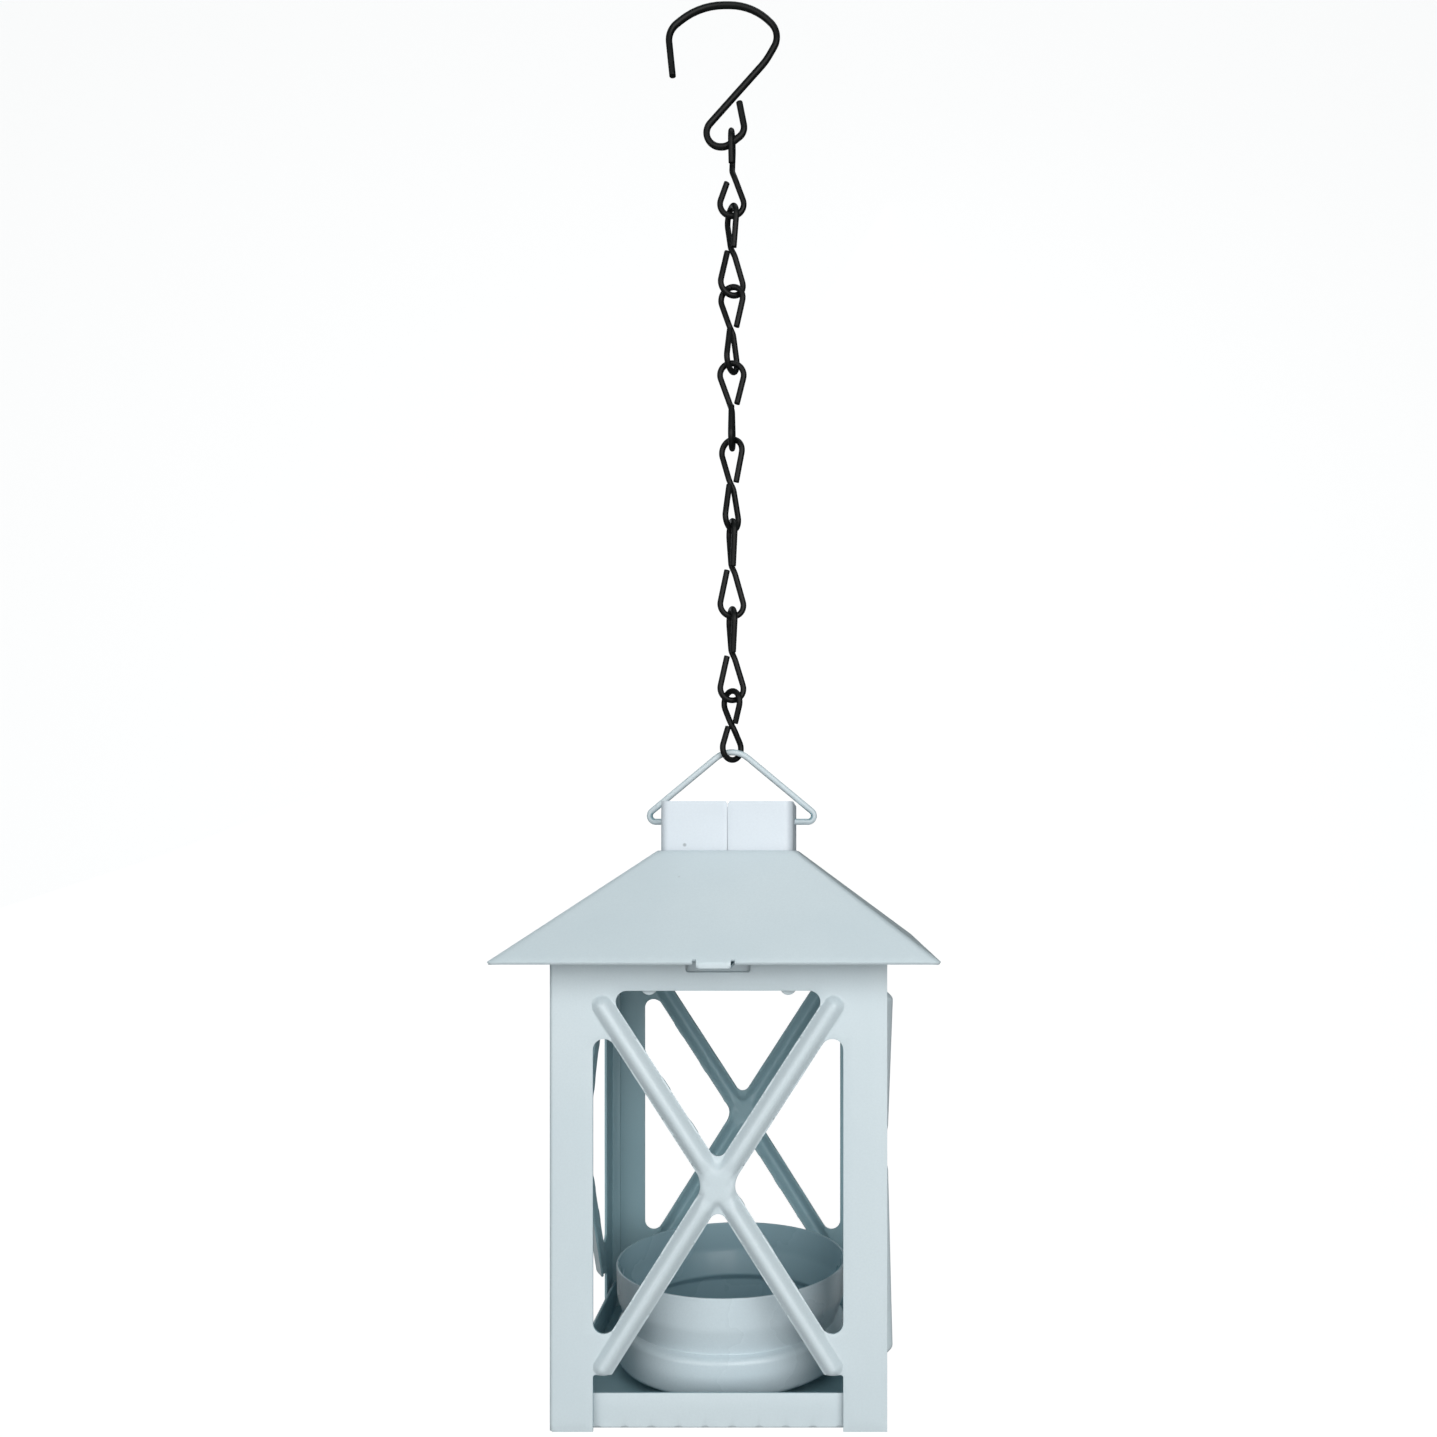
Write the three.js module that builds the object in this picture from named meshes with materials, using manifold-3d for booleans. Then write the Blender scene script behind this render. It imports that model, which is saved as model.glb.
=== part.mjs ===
// Hanging tealight lantern: a folded sheet-metal house with a cross brace in each wall, a hip roof and
// a square vent collar, hung by a wire bail, a chain of eight figure-8 links and an S-hook.
// Millimetres, +Z up, front face towards -Y. The origin is the inside of the hook's top bend, where
// the whole lantern hangs.
import * as THREE from "three";
import { mergeVertices } from "three/addons/utils/BufferGeometryUtils.js";
import Module from "manifold-3d";

const wasm = await Module();
wasm.setup();

// Sheet and wire
const SHEET = 0.5;
const HOOK_WIRE = 1.35;
const LINK_WIRE = 1.25;
const BAIL_WIRE = 1.3;
const SEAT_GAP = 0.38; // between one wire and the wire that hangs on it
const FIT_GAP = 0.3; // between pieces that are set into each other and stay put

// Body: a square tube of two L-shaped pressings
const BODY_WIDTH = 60;
const BODY_BEND = 0.9; // outer radius of the folded corner
const EAVE_HEIGHT = 84; // from the feet to the roof's edge
const LAP = 2.3; // width of the flange that lies inside the other pressing's wall
const LAP_GAP = 0.05;

// Window cut-outs and the cross brace in each wall
const POST_WIDTH = 7.8;
const WINDOW_TOP = 78.2;
const WINDOW_CORNER = 1.95;
const BRACE_BAND = 4.15; // width of each arm, flat sheet included
const BRACE_CENTRE = 43.8;
const UPPER_ARM_END = [20.5, 75.5];
const LOWER_ARM_END = [21.1, 10.4];
const BRACE_FILLET = 3.5;
const BRACE_NOTCH = 1.5;
const LEG_HEIGHT = 10.1;
const RIB_WIDTH = 3;
const RIB_HEIGHT = 1.6;

// Roof, its four tabs, and the slots that they pass through
const EAVE_OVERHANG = 8.8; // beyond the walls
const ROOF_TOP_LEDGE = 0.55; // from the collar's wall to the roof's upper edge
const ROOF_PITCH = THREE.MathUtils.degToRad(36.95);
const TAB_WIDTH = 5.9;
const TAB_DROP = 1.1; // how far a tab shows below the eave
const TAB_TURN = 2.6; // height of the tab's end, turned up inside
const SLOT_WIDTH = 11.5;
const SLOT_BELOW_EAVE = 2.5;
const SLOT_ABOVE_EAVE = 0.8;

// Vent collar on the roof
const COLLAR_WIDTH = 25.5;
const COLLAR_RISE = 9.5; // above the roof
const COLLAR_CORNER = 1.8;
const COLLAR_ROOF_GAP = 0.2;
const COLLAR_TAB_WIDTH = 8;
const COLLAR_TAB_LENGTH = 3;

// Bail: a wire triangle whose ends turn in through holes in the collar's sides
const BAIL_HOLE_DROP = 3.6; // below the collar's top
const BAIL_HOLE_GAP = 0.25; // radial
const BAIL_STANDOFF = 3.85; // from the collar's wall to the outermost wire centre
const BAIL_CORNER_RISE = 15.6; // from the holes' axis to where the two legs' centre lines meet
const BAIL_END_BEND = 1.2;
const BAIL_APEX_BEND = 5.1;
const BAIL_STUB = 1.2; // how far the ends stand inside the collar

// Top frame: a deck with a vent and four lips, inside the body's top
const FRAME_CLEARANCE = 0.15;
const FRAME_DECK_RISE = 2; // the deck's underside above the eave
const FRAME_VENT = 32;
const FRAME_LIP_END = 79;
const FRAME_CORNER_CUT = 2.5;
const EAR_SPACING = 24.8;
const EAR_WIDTH = 3;
const EAR_END = 77.3;

// Base tray with the candle cup riveted to it
const TRAY_CLEARANCE = 0.15;
const TRAY_LIFT = 0.05;
const TRAY_LIP = 6.35;
const TRAY_DIMPLE_RADIUS = 7; // a raised flat that carries the cup's well, over the rivet's tail
const TRAY_DIMPLE_RISE = 0.5;
const TRAY_CORNER_CUT = 1.2;
const CUP_RIM_HEIGHT = 21;
const CUP_RIM_RADIUS = 23.04;
const CUP_NECK_RADIUS = 21.3;
const CUP_NECK_HEIGHT = 9.9;
const CUP_BASE_RADIUS = 22.8;
const CUP_FOOT_BEND = 1;
const CUP_WELL_RADIUS = 6; // a flat round the rivet that sits on the tray's dimple
const CUP_SEAT_RISE = 1.2; // from the well to the floor that the candle stands on
const RIVET_RADIUS = 1.5;
const RIVET_HEAD_RADIUS = 3;
const RIVET_HEAD_HEIGHT = 0.9;
const RIVET_SHOULDER_RADIUS = 2.1;
const RIVET_SHOULDER_RISE = 0.675; // of the domed head's shoulder above the head's foot
const RIVET_TAIL = 0.3;
const RIVET_GAP = 0.05;

// Chain of figure-8 links: two loops in planes at right angles, made of one wire. From the hook down,
// each link has its turn about the chain in degrees and its reach from the waist to a loop's end.
const LINKS = [
  [0, 8.42],
  [26, 8.92],
  [70, 8.52],
  [90, 8.57],
  [62, 9.07],
  [18, 9.63],
  [18, 9.23],
  [45, 6.98],
];
const LINK_END_BEND = 2.4;
const LINK_WAIST_BEND = 3;
const LINK_OPEN_END = 1; // distance of each free wire end from the link's middle line
const LINK_OPEN_RISE = 0.35; // height of each free wire end from the waist
const FIRST_LINK_OPEN_RISE = 1.7; // the first link is cut shorter
const LINK_WAIST_SHIFT = 0.62; // distance of the wire from the middle line at the waist
const LINK_WAIST_RISE = 0.85; // half the height over which the wire turns from one loop's plane to the other's

// S-hook: corners of the wire's centre line, as [x, z, bend radius], from the top of the big bend
const HOOK_CORNERS = [
  [-12, -14.4, 0],
  [-12.95, -5.2, 4.2],
  [-6.5, 0, 14],
  [4.5, 0, 11.5],
  [10.04, -5.85, 4],
  [6.9, -11.3, 12],
  [-8.65, -28.69, 2.85],
  [-1.1, -28.69, 2.85],
  [2.71, -25.72, 2.5],
  [1.5, -19.65, 0],
];
const HOOK_SEAT = 7; // the chain hangs on the run that starts at this corner

// Facets
const WIRE_SIDES = 8;
const ARC_STEPS = 4;
const ROUND_SIDES = 32;
const SMALL_ROUND_SIDES = 12;

const PAINT = { color: 0xc8d4da, roughness: 0.42, metalness: 0 };
const CUP_PAINT = { color: 0xc3d0d7, roughness: 0.33, metalness: 0 };
const BLACK = { color: 0x151818, roughness: 0.4, metalness: 0.2 };

// ---- Heights above the feet and half widths that follow from the sizes above ----

const bodyHalf = BODY_WIDTH / 2;
const innerHalf = bodyHalf - SHEET;
const lapFace = innerHalf - LAP_GAP - SHEET;
const eaveHalf = bodyHalf + EAVE_OVERHANG;
const collarHalf = COLLAR_WIDTH / 2;
const roofTopHalf = collarHalf + ROOF_TOP_LEDGE;
const roofSlope = Math.tan(ROOF_PITCH);
const roofTop = EAVE_HEIGHT + (eaveHalf - roofTopHalf) * roofSlope;
const slantedSheet = SHEET / Math.cos(ROOF_PITCH);
const slantedGap = FIT_GAP / Math.cos(ROOF_PITCH);
const wallTop = roofHeightAt(bodyHalf) - slantedSheet - slantedGap;
const collarTop = roofTop + COLLAR_RISE;
const collarTabTop = roofHeightAt(collarHalf) - slantedSheet - slantedGap;
const bailAxis = collarTop - BAIL_HOLE_DROP;
const bailReach = collarHalf + BAIL_STANDOFF;
const bailFootRise = 1.5 * BAIL_END_BEND;
const bailLegPitch = Math.atan2(BAIL_CORNER_RISE - bailFootRise, bailReach);
const bailApex = bailAxis + BAIL_CORNER_RISE - BAIL_APEX_BEND * (1 / Math.cos(bailLegPitch) - 1);
const frameHalf = lapFace - FRAME_CLEARANCE;
const deckBottom = EAVE_HEIGHT + FRAME_DECK_RISE;
const trayHalf = lapFace - TRAY_CLEARANCE;
const dimpleBottom = TRAY_LIFT + TRAY_DIMPLE_RISE;
const dimpleTop = dimpleBottom + SHEET;

function roofHeightAt(distance) {
  return EAVE_HEIGHT + (eaveHalf - distance) * roofSlope;
}

// ---- Geometry helpers ----

function solid(geometry) {
  const bare = geometry.index ? geometry.toNonIndexed() : geometry.clone();
  bare.deleteAttribute("normal");
  bare.deleteAttribute("uv");
  const merged = mergeVertices(bare, 1e-4);
  const mesh = new wasm.Mesh({
    numProp: 3,
    vertProperties: merged.attributes.position.array,
    triVerts: new Uint32Array(merged.index.array),
  });
  return new wasm.Manifold(mesh);
}

function joined(solids) {
  return solids.reduce((whole, piece) => whole.add(piece));
}

function without(whole, cuts) {
  return cuts.reduce((rest, cut) => rest.subtract(cut), whole);
}

function geometryOf(manifold) {
  const mesh = manifold.getMesh();
  const geometry = new THREE.BufferGeometry();
  geometry.setAttribute("position", new THREE.BufferAttribute(mesh.vertProperties, 3));
  geometry.setIndex(new THREE.BufferAttribute(mesh.triVerts, 1));
  geometry.computeVertexNormals();
  return geometry;
}

function box([x0, x1], [y0, y1], [z0, z1]) {
  const geometry = new THREE.BoxGeometry(x1 - x0, y1 - y0, z1 - z0);
  return solid(geometry.translate((x0 + x1) / 2, (y0 + y1) / 2, (z0 + z1) / 2));
}

// The points that round one corner of a path, from one tangent point to the other.
function cornerArc(before, corner, after, radius) {
  if (radius === 0) return [corner.clone()];
  const into = corner.clone().sub(before).normalize();
  const outOf = after.clone().sub(corner).normalize();
  const turn = into.angleTo(outOf);
  const start = corner.clone().addScaledVector(into, -radius * Math.tan(turn / 2));
  const inward = outOf.clone().addScaledVector(into, -into.dot(outOf)).normalize();
  const points = [];
  for (let step = 0; step <= ARC_STEPS; step++) {
    const angle = (turn * step) / ARC_STEPS;
    const point = start.clone().addScaledVector(into, radius * Math.sin(angle));
    points.push(point.addScaledVector(inward, radius * (1 - Math.cos(angle))));
  }
  return points;
}

// A closed outline whose corners are given as [across, up, radius].
function outline(corners) {
  const at = (index) => {
    const [across, up] = corners[(index + corners.length) % corners.length];
    return new THREE.Vector3(across, up, 0);
  };
  const points = corners.flatMap((corner, index) =>
    cornerArc(at(index - 1), at(index), at(index + 1), corner[2]),
  );
  return new THREE.Shape(points.map((point) => new THREE.Vector2(point.x, point.y)));
}

// A plate in the plane of the front wall: the outline's "up" is Z, and it fills from y0 to y1.
function frontPlate(shape, [y0, y1]) {
  const geometry = new THREE.ExtrudeGeometry(shape, { depth: y1 - y0, bevelEnabled: false });
  return solid(geometry.rotateX(Math.PI / 2).translate(0, y1, 0));
}

// A plate in the horizontal plane, filled from z0 to z1.
function floorPlate(shape, [z0, z1]) {
  const geometry = new THREE.ExtrudeGeometry(shape, { depth: z1 - z0, bevelEnabled: false });
  return solid(geometry.translate(0, 0, z0));
}

// The same solid on each of the four sides.
function onFourSides(piece) {
  return joined([0, 90, 180, 270].map((turn) => piece.rotate([0, 0, turn])));
}

// A path through fixed stations, so that a sweep along it has its sections just there.
class StationPath extends THREE.Curve {
  constructor(stations) {
    super();
    this.stations = stations;
  }

  getPoint(t, target = new THREE.Vector3()) {
    const place = t * (this.stations.length - 1);
    const index = Math.min(Math.round(place), this.stations.length - 1);
    return target.copy(this.stations[index]);
  }

  getPointAt(u, target) {
    return this.getPoint(u, target);
  }

  getTangentAt(u, target = new THREE.Vector3()) {
    const last = this.stations.length - 1;
    const index = Math.round(u * last);
    const before = this.stations[Math.max(index - 1, 0)];
    const here = this.stations[index];
    const after = this.stations[Math.min(index + 1, last)];
    const into = here.clone().sub(before).normalize();
    const outOf = after.clone().sub(here).normalize();
    return target.copy(into).add(outOf).normalize();
  }
}

function circleShape(radius, sides) {
  const points = [];
  for (let side = 0; side < sides; side++) {
    const angle = (2 * Math.PI * side) / sides;
    points.push(new THREE.Vector2(radius * Math.cos(angle), radius * Math.sin(angle)));
  }
  return new THREE.Shape(points);
}

// A round wire bent at corners given as [Vector3, bend radius].
function wire(corners, diameter) {
  const last = corners.length - 1;
  const stations = corners.flatMap(([corner, radius], index) => {
    if (index === 0 || index === last) return [corner];
    return cornerArc(corners[index - 1][0], corner, corners[index + 1][0], radius);
  });
  return new THREE.ExtrudeGeometry(circleShape(diameter / 2, WIRE_SIDES), {
    steps: stations.length - 1,
    extrudePath: new StationPath(stations),
    bevelEnabled: false,
  });
}

// ---- Body ----

function braceLine([across, up]) {
  const slope = (up - BRACE_CENTRE) / across;
  return { slope, rise: (BRACE_BAND / 2) * Math.hypot(1, slope) };
}

// The four cut-outs that leave posts, a top band and the cross brace standing in a wall.
function windowShapes() {
  const post = bodyHalf - POST_WIDTH;
  const upper = braceLine(UPPER_ARM_END);
  const lower = braceLine(LOWER_ARM_END);
  const topNotch = BRACE_CENTRE + upper.rise;
  const topCorner = (WINDOW_TOP - topNotch) / upper.slope;
  const top = outline([
    [0, topNotch, BRACE_NOTCH],
    [topCorner, WINDOW_TOP, WINDOW_CORNER],
    [-topCorner, WINDOW_TOP, WINDOW_CORNER],
  ]);
  const tip = (upper.rise + lower.rise) / (upper.slope - lower.slope);
  const tipHeight = BRACE_CENTRE - upper.rise + upper.slope * tip;
  const side = (sign) =>
    outline([
      [sign * tip, tipHeight, BRACE_FILLET],
      [sign * post, BRACE_CENTRE - upper.rise + upper.slope * post, WINDOW_CORNER],
      [sign * post, BRACE_CENTRE + lower.rise + lower.slope * post, WINDOW_CORNER],
    ]);
  const bottomNotch = BRACE_CENTRE - lower.rise;
  const ledge = (LEG_HEIGHT - bottomNotch) / lower.slope;
  const bottom = outline([
    [post, -SHEET, 0],
    [post, LEG_HEIGHT, SHEET],
    [ledge, LEG_HEIGHT, SHEET],
    [0, bottomNotch, BRACE_NOTCH],
    [-ledge, LEG_HEIGHT, SHEET],
    [-post, LEG_HEIGHT, SHEET],
    [-post, -SHEET, 0],
  ]);
  return [top, side(1), side(-1), bottom];
}

function slotShape() {
  return outline([
    [-SLOT_WIDTH / 2, EAVE_HEIGHT - SLOT_BELOW_EAVE, SHEET],
    [SLOT_WIDTH / 2, EAVE_HEIGHT - SLOT_BELOW_EAVE, SHEET],
    [SLOT_WIDTH / 2, EAVE_HEIGHT + SLOT_ABOVE_EAVE, SHEET],
    [-SLOT_WIDTH / 2, EAVE_HEIGHT + SLOT_ABOVE_EAVE, SHEET],
  ]);
}

// Bars with rounded ends along the four arms of the front wall's brace, half sunk in the wall.
function braceBars(width, height) {
  const middle = -bodyHalf + SHEET;
  const ends = [UPPER_ARM_END, LOWER_ARM_END].flatMap(([across, up]) => [
    [across, up],
    [-across, up],
  ]);
  return joined(
    ends.map(([across, up]) => {
      const rise = up - BRACE_CENTRE;
      const bar = new THREE.CapsuleGeometry(width / 2, Math.hypot(across, rise), 2, WIRE_SIDES);
      bar.scale(1, 1, (2 * height) / width).rotateX(Math.PI / 2);
      bar.rotateY(Math.atan2(across, rise));
      return solid(bar.translate(across / 2, middle, BRACE_CENTRE + rise / 2));
    }),
  );
}

// What the press does to a plain front wall: embossed ribs outwards, then the cut-outs.
function pressFrontWall(blank) {
  const outside = [-BODY_WIDTH, -innerHalf];
  const skin = box([-bodyHalf, bodyHalf], outside, [0, EAVE_HEIGHT]);
  const ribs = braceBars(RIB_WIDTH, RIB_HEIGHT + SHEET).intersect(skin);
  const hollows = braceBars(RIB_WIDTH - 2 * SHEET, RIB_HEIGHT);
  const depth = [-bodyHalf - SHEET, -innerHalf + SHEET / 2];
  const cuts = [...windowShapes(), slotShape()].map((shape) => frontPlate(shape, depth));
  return without(blank.add(ribs), [hollows, ...cuts]);
}

function bodyPressing() {
  const rear = innerHalf - LAP_GAP;
  const lapEnd = LAP - bodyHalf;
  const plan = outline([
    [bodyHalf, -bodyHalf, 0],
    [bodyHalf, -innerHalf, 0],
    [-innerHalf, -innerHalf, BODY_BEND - SHEET],
    [-innerHalf, rear - SHEET, 0],
    [lapEnd, rear - SHEET, 0],
    [lapEnd, rear, 0],
    [-bodyHalf, rear, BODY_BEND],
    [-bodyHalf, -bodyHalf, BODY_BEND],
  ]);
  const blank = floorPlate(plan, [0, wallTop]);
  const leftInFront = pressFrontWall(blank).rotate([0, 0, 90]);
  return pressFrontWall(leftInFront).rotate([0, 0, -90]);
}

// ---- Roof and collar ----

function pyramid(bottom, top, bottomHalf, topHalf) {
  const geometry = new THREE.CylinderGeometry(
    topHalf * Math.SQRT2,
    bottomHalf * Math.SQRT2,
    top - bottom,
    4,
    1,
  );
  geometry.rotateX(Math.PI / 2).rotateZ(Math.PI / 4);
  return solid(geometry.translate(0, 0, (bottom + top) / 2));
}

function roofTab() {
  const across = [-TAB_WIDTH / 2, TAB_WIDTH / 2];
  const bottom = EAVE_HEIGHT - TAB_DROP;
  const end = -frameHalf + SHEET + FIT_GAP;
  return joined([
    box(across, [-eaveHalf, -eaveHalf + SHEET], [bottom, EAVE_HEIGHT - slantedSheet / 2]),
    box(across, [-eaveHalf, end + SHEET], [bottom, bottom + SHEET]),
    box(across, [end, end + SHEET], [bottom, bottom + TAB_TURN]),
  ]);
}

function roofSolid() {
  const skirt = EAVE_HEIGHT - slantedSheet;
  const skirtHalf = eaveHalf + slantedSheet / roofSlope;
  const outer = pyramid(skirt, roofTop, skirtHalf, roofTopHalf);
  const trim = box([-eaveHalf, eaveHalf], [-eaveHalf, eaveHalf], [0, roofTop]);
  const inner = pyramid(skirt - slantedSheet, roofTop - slantedSheet, skirtHalf, roofTopHalf);
  const openHalf = collarHalf + COLLAR_ROOF_GAP;
  const opening = box([-openHalf, openHalf], [-openHalf, openHalf], [EAVE_HEIGHT, collarTop]);
  const shell = outer.intersect(trim).subtract(inner).subtract(opening);
  return shell.add(onFourSides(roofTab()));
}

function squareOutline(half, corner) {
  return outline([
    [-half, -half, corner],
    [half, -half, corner],
    [half, half, corner],
    [-half, half, corner],
  ]);
}

// A tab at the collar's foot, turned out under the roof and parallel to it.
function collarTab() {
  const middle = -collarHalf + SHEET / 2;
  const geometry = new THREE.BoxGeometry(COLLAR_TAB_WIDTH, COLLAR_TAB_LENGTH, SHEET);
  geometry.translate(0, -COLLAR_TAB_LENGTH / 2, -SHEET / 2).rotateX(ROOF_PITCH);
  return solid(geometry.translate(0, middle, collarTabTop + (SHEET / 2) * roofSlope));
}

function collarSolid() {
  const heights = [collarTabTop - slantedSheet, collarTop];
  const outer = floorPlate(squareOutline(collarHalf, COLLAR_CORNER), heights);
  const bore = squareOutline(collarHalf - SHEET, COLLAR_CORNER - SHEET);
  const inner = floorPlate(bore, [0, collarTop + SHEET]);
  const hole = new THREE.CylinderGeometry(
    BAIL_WIRE / 2 + BAIL_HOLE_GAP,
    BAIL_WIRE / 2 + BAIL_HOLE_GAP,
    COLLAR_WIDTH + SHEET,
    SMALL_ROUND_SIDES,
  );
  hole.rotateZ(Math.PI / 2).translate(0, 0, bailAxis);
  const tabs = onFourSides(collarTab());
  return outer.subtract(inner).add(tabs).subtract(solid(hole));
}

// ---- Top frame, tray, cup and rivet ----

function earShape(side) {
  const middle = (side * EAR_SPACING) / 2;
  const left = middle - EAR_WIDTH / 2;
  const right = middle + EAR_WIDTH / 2;
  return outline([
    [left, FRAME_LIP_END + SHEET, 0],
    [left, EAR_END, EAR_WIDTH / 3],
    [right, EAR_END, EAR_WIDTH / 3],
    [right, FRAME_LIP_END + SHEET, 0],
  ]);
}

function topFrameSolid() {
  const deck = box([-frameHalf, frameHalf], [-frameHalf, frameHalf], [deckBottom, deckBottom + SHEET]);
  const ventHalf = FRAME_VENT / 2;
  const vent = box([-ventHalf, ventHalf], [-ventHalf, ventHalf], [EAVE_HEIGHT, roofTop]);
  const faces = [-frameHalf, -frameHalf + SHEET];
  const lipHalf = frameHalf - FRAME_CORNER_CUT;
  const lip = joined([
    box([-lipHalf, lipHalf], faces, [FRAME_LIP_END, deckBottom + SHEET]),
    frontPlate(earShape(-1), faces),
    frontPlate(earShape(1), faces),
  ]);
  const slotted = lip.subtract(frontPlate(slotShape(), [-bodyHalf, -frameHalf + 2 * SHEET]));
  return deck.subtract(vent).add(onFourSides(slotted));
}

function disc(radius, [z0, z1]) {
  const geometry = new THREE.CylinderGeometry(radius, radius, z1 - z0, SMALL_ROUND_SIDES);
  return solid(geometry.rotateX(Math.PI / 2).translate(0, 0, (z0 + z1) / 2));
}

function rivetHole() {
  return disc(RIVET_RADIUS + RIVET_GAP, [0, CUP_RIM_HEIGHT]);
}

function traySolid() {
  const sides = [-trayHalf, trayHalf];
  const floor = box(sides, sides, [TRAY_LIFT, TRAY_LIFT + SHEET]);
  const lipHalf = trayHalf - TRAY_CORNER_CUT;
  const lip = box([-lipHalf, lipHalf], [-trayHalf, -trayHalf + SHEET], [TRAY_LIFT, TRAY_LIP]);
  const dimple = disc(TRAY_DIMPLE_RADIUS, [TRAY_LIFT, dimpleTop]);
  const hollow = disc(TRAY_DIMPLE_RADIUS - SHEET, [0, dimpleBottom]);
  return without(floor.add(onFourSides(lip)).add(dimple), [hollow, rivetHole()]);
}

function turned(profile, sides) {
  const points = profile.map(([radius, height]) => new THREE.Vector2(radius, height));
  return new THREE.LatheGeometry(points, sides).rotateX(Math.PI / 2);
}

function cupSolid() {
  const shoulder = CUP_NECK_HEIGHT - (CUP_BASE_RADIUS - CUP_NECK_RADIUS) - SHEET;
  const wellBottom = dimpleTop + RIVET_GAP;
  const seatBottom = wellBottom + CUP_SEAT_RISE;
  const wellRadius = CUP_WELL_RADIUS - SHEET * Math.tan(Math.PI / 8);
  const wall = [
    [CUP_BASE_RADIUS - CUP_FOOT_BEND / 4, seatBottom + CUP_FOOT_BEND / 2],
    [CUP_BASE_RADIUS, seatBottom + CUP_FOOT_BEND],
    [CUP_BASE_RADIUS, shoulder],
    [CUP_NECK_RADIUS, CUP_NECK_HEIGHT],
    [CUP_RIM_RADIUS - SHEET, CUP_RIM_HEIGHT - 2 * SHEET],
    [CUP_RIM_RADIUS, CUP_RIM_HEIGHT - SHEET],
    [CUP_RIM_RADIUS - SHEET / 2, CUP_RIM_HEIGHT],
  ];
  const underside = [
    [0, wellBottom],
    [CUP_WELL_RADIUS, wellBottom],
    [CUP_WELL_RADIUS + CUP_SEAT_RISE, seatBottom],
    [CUP_BASE_RADIUS - CUP_FOOT_BEND, seatBottom],
  ];
  const wallInside = wall.map(([radius, height]) => [radius - SHEET, height]).reverse();
  const rimInside = [CUP_RIM_RADIUS - 2 * SHEET, CUP_RIM_HEIGHT - SHEET / 2];
  const floor = [
    [CUP_BASE_RADIUS - CUP_FOOT_BEND - SHEET, seatBottom + SHEET],
    [wellRadius + CUP_SEAT_RISE, seatBottom + SHEET],
    [wellRadius, wellBottom + SHEET],
    [0, wellBottom + SHEET],
  ];
  const profile = [...underside, ...wall, rimInside, ...wallInside.slice(2), ...floor];
  return solid(turned(profile, ROUND_SIDES)).subtract(rivetHole());
}

function rivetGeometry() {
  const seat = dimpleTop + SHEET + 2 * RIVET_GAP;
  const tailTop = dimpleBottom - RIVET_GAP;
  return turned(
    [
      [0, tailTop - RIVET_TAIL],
      [RIVET_HEAD_RADIUS, tailTop - RIVET_TAIL],
      [RIVET_HEAD_RADIUS, tailTop],
      [RIVET_RADIUS, tailTop],
      [RIVET_RADIUS, seat],
      [RIVET_HEAD_RADIUS, seat],
      [RIVET_SHOULDER_RADIUS, seat + RIVET_SHOULDER_RISE],
      [0, seat + RIVET_HEAD_HEIGHT],
    ],
    SMALL_ROUND_SIDES,
  );
}

// ---- Wire pieces ----

function bailGeometry() {
  const side = (sign) => [
    [new THREE.Vector3(sign * (collarHalf - SHEET - BAIL_STUB), 0, bailAxis), 0],
    [new THREE.Vector3(sign * bailReach, 0, bailAxis), BAIL_END_BEND],
    [new THREE.Vector3(sign * bailReach, 0, bailAxis + bailFootRise), BAIL_END_BEND],
  ];
  const apex = [new THREE.Vector3(0, 0, bailAxis + BAIL_CORNER_RISE), BAIL_APEX_BEND];
  return wire([...side(-1), apex, ...side(1).reverse()], BAIL_WIRE);
}

// How far out a loop's straight side, from a point beside the waist and along the end bend's tangent,
// meets the level of the loop's end.
function loopCorner(start, rise, reach) {
  const bendCentre = reach - LINK_END_BEND - rise;
  const toCentre = Math.hypot(start, bendCentre);
  const lean = Math.asin(LINK_END_BEND / toCentre) - Math.atan2(start, bendCentre);
  return start + (reach - rise) * Math.tan(lean);
}

// A link stands about its waist: the top loop lies in the YZ plane and the bottom loop in the XZ plane.
function linkGeometry(reach, openRise) {
  const openSide = loopCorner(LINK_OPEN_END, openRise, reach);
  const waistSide = loopCorner(LINK_WAIST_SHIFT, LINK_WAIST_RISE, reach);
  const topLoop = (across, up) => new THREE.Vector3(0, across, up);
  const bottomLoop = (across, up) => new THREE.Vector3(across, 0, -up);
  const corners = [
    [topLoop(-LINK_OPEN_END, openRise), 0],
    [topLoop(-openSide, reach), LINK_END_BEND],
    [topLoop(waistSide, reach), LINK_END_BEND],
    [topLoop(LINK_WAIST_SHIFT, LINK_WAIST_RISE), LINK_WAIST_BEND],
    [bottomLoop(LINK_WAIST_SHIFT, LINK_WAIST_RISE), LINK_WAIST_BEND],
    [bottomLoop(waistSide, reach), LINK_END_BEND],
    [bottomLoop(-openSide, reach), LINK_END_BEND],
    [bottomLoop(-LINK_OPEN_END, openRise), 0],
  ];
  return wire(corners, LINK_WIRE);
}

function hookGeometry() {
  const corners = HOOK_CORNERS.map(([x, z, radius]) => [new THREE.Vector3(x, 0, z), radius]);
  return wire(corners, HOOK_WIRE);
}

// Height at which the hook's seat run crosses the lantern's axis, and that run's slope.
function hookSeat() {
  const [x0, z0] = HOOK_CORNERS[HOOK_SEAT];
  const [x1, z1] = HOOK_CORNERS[HOOK_SEAT + 1];
  const slope = (z1 - z0) / (x1 - x0);
  return { height: z0 - x0 * slope, slope };
}

// ---- Assembly ----

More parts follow.
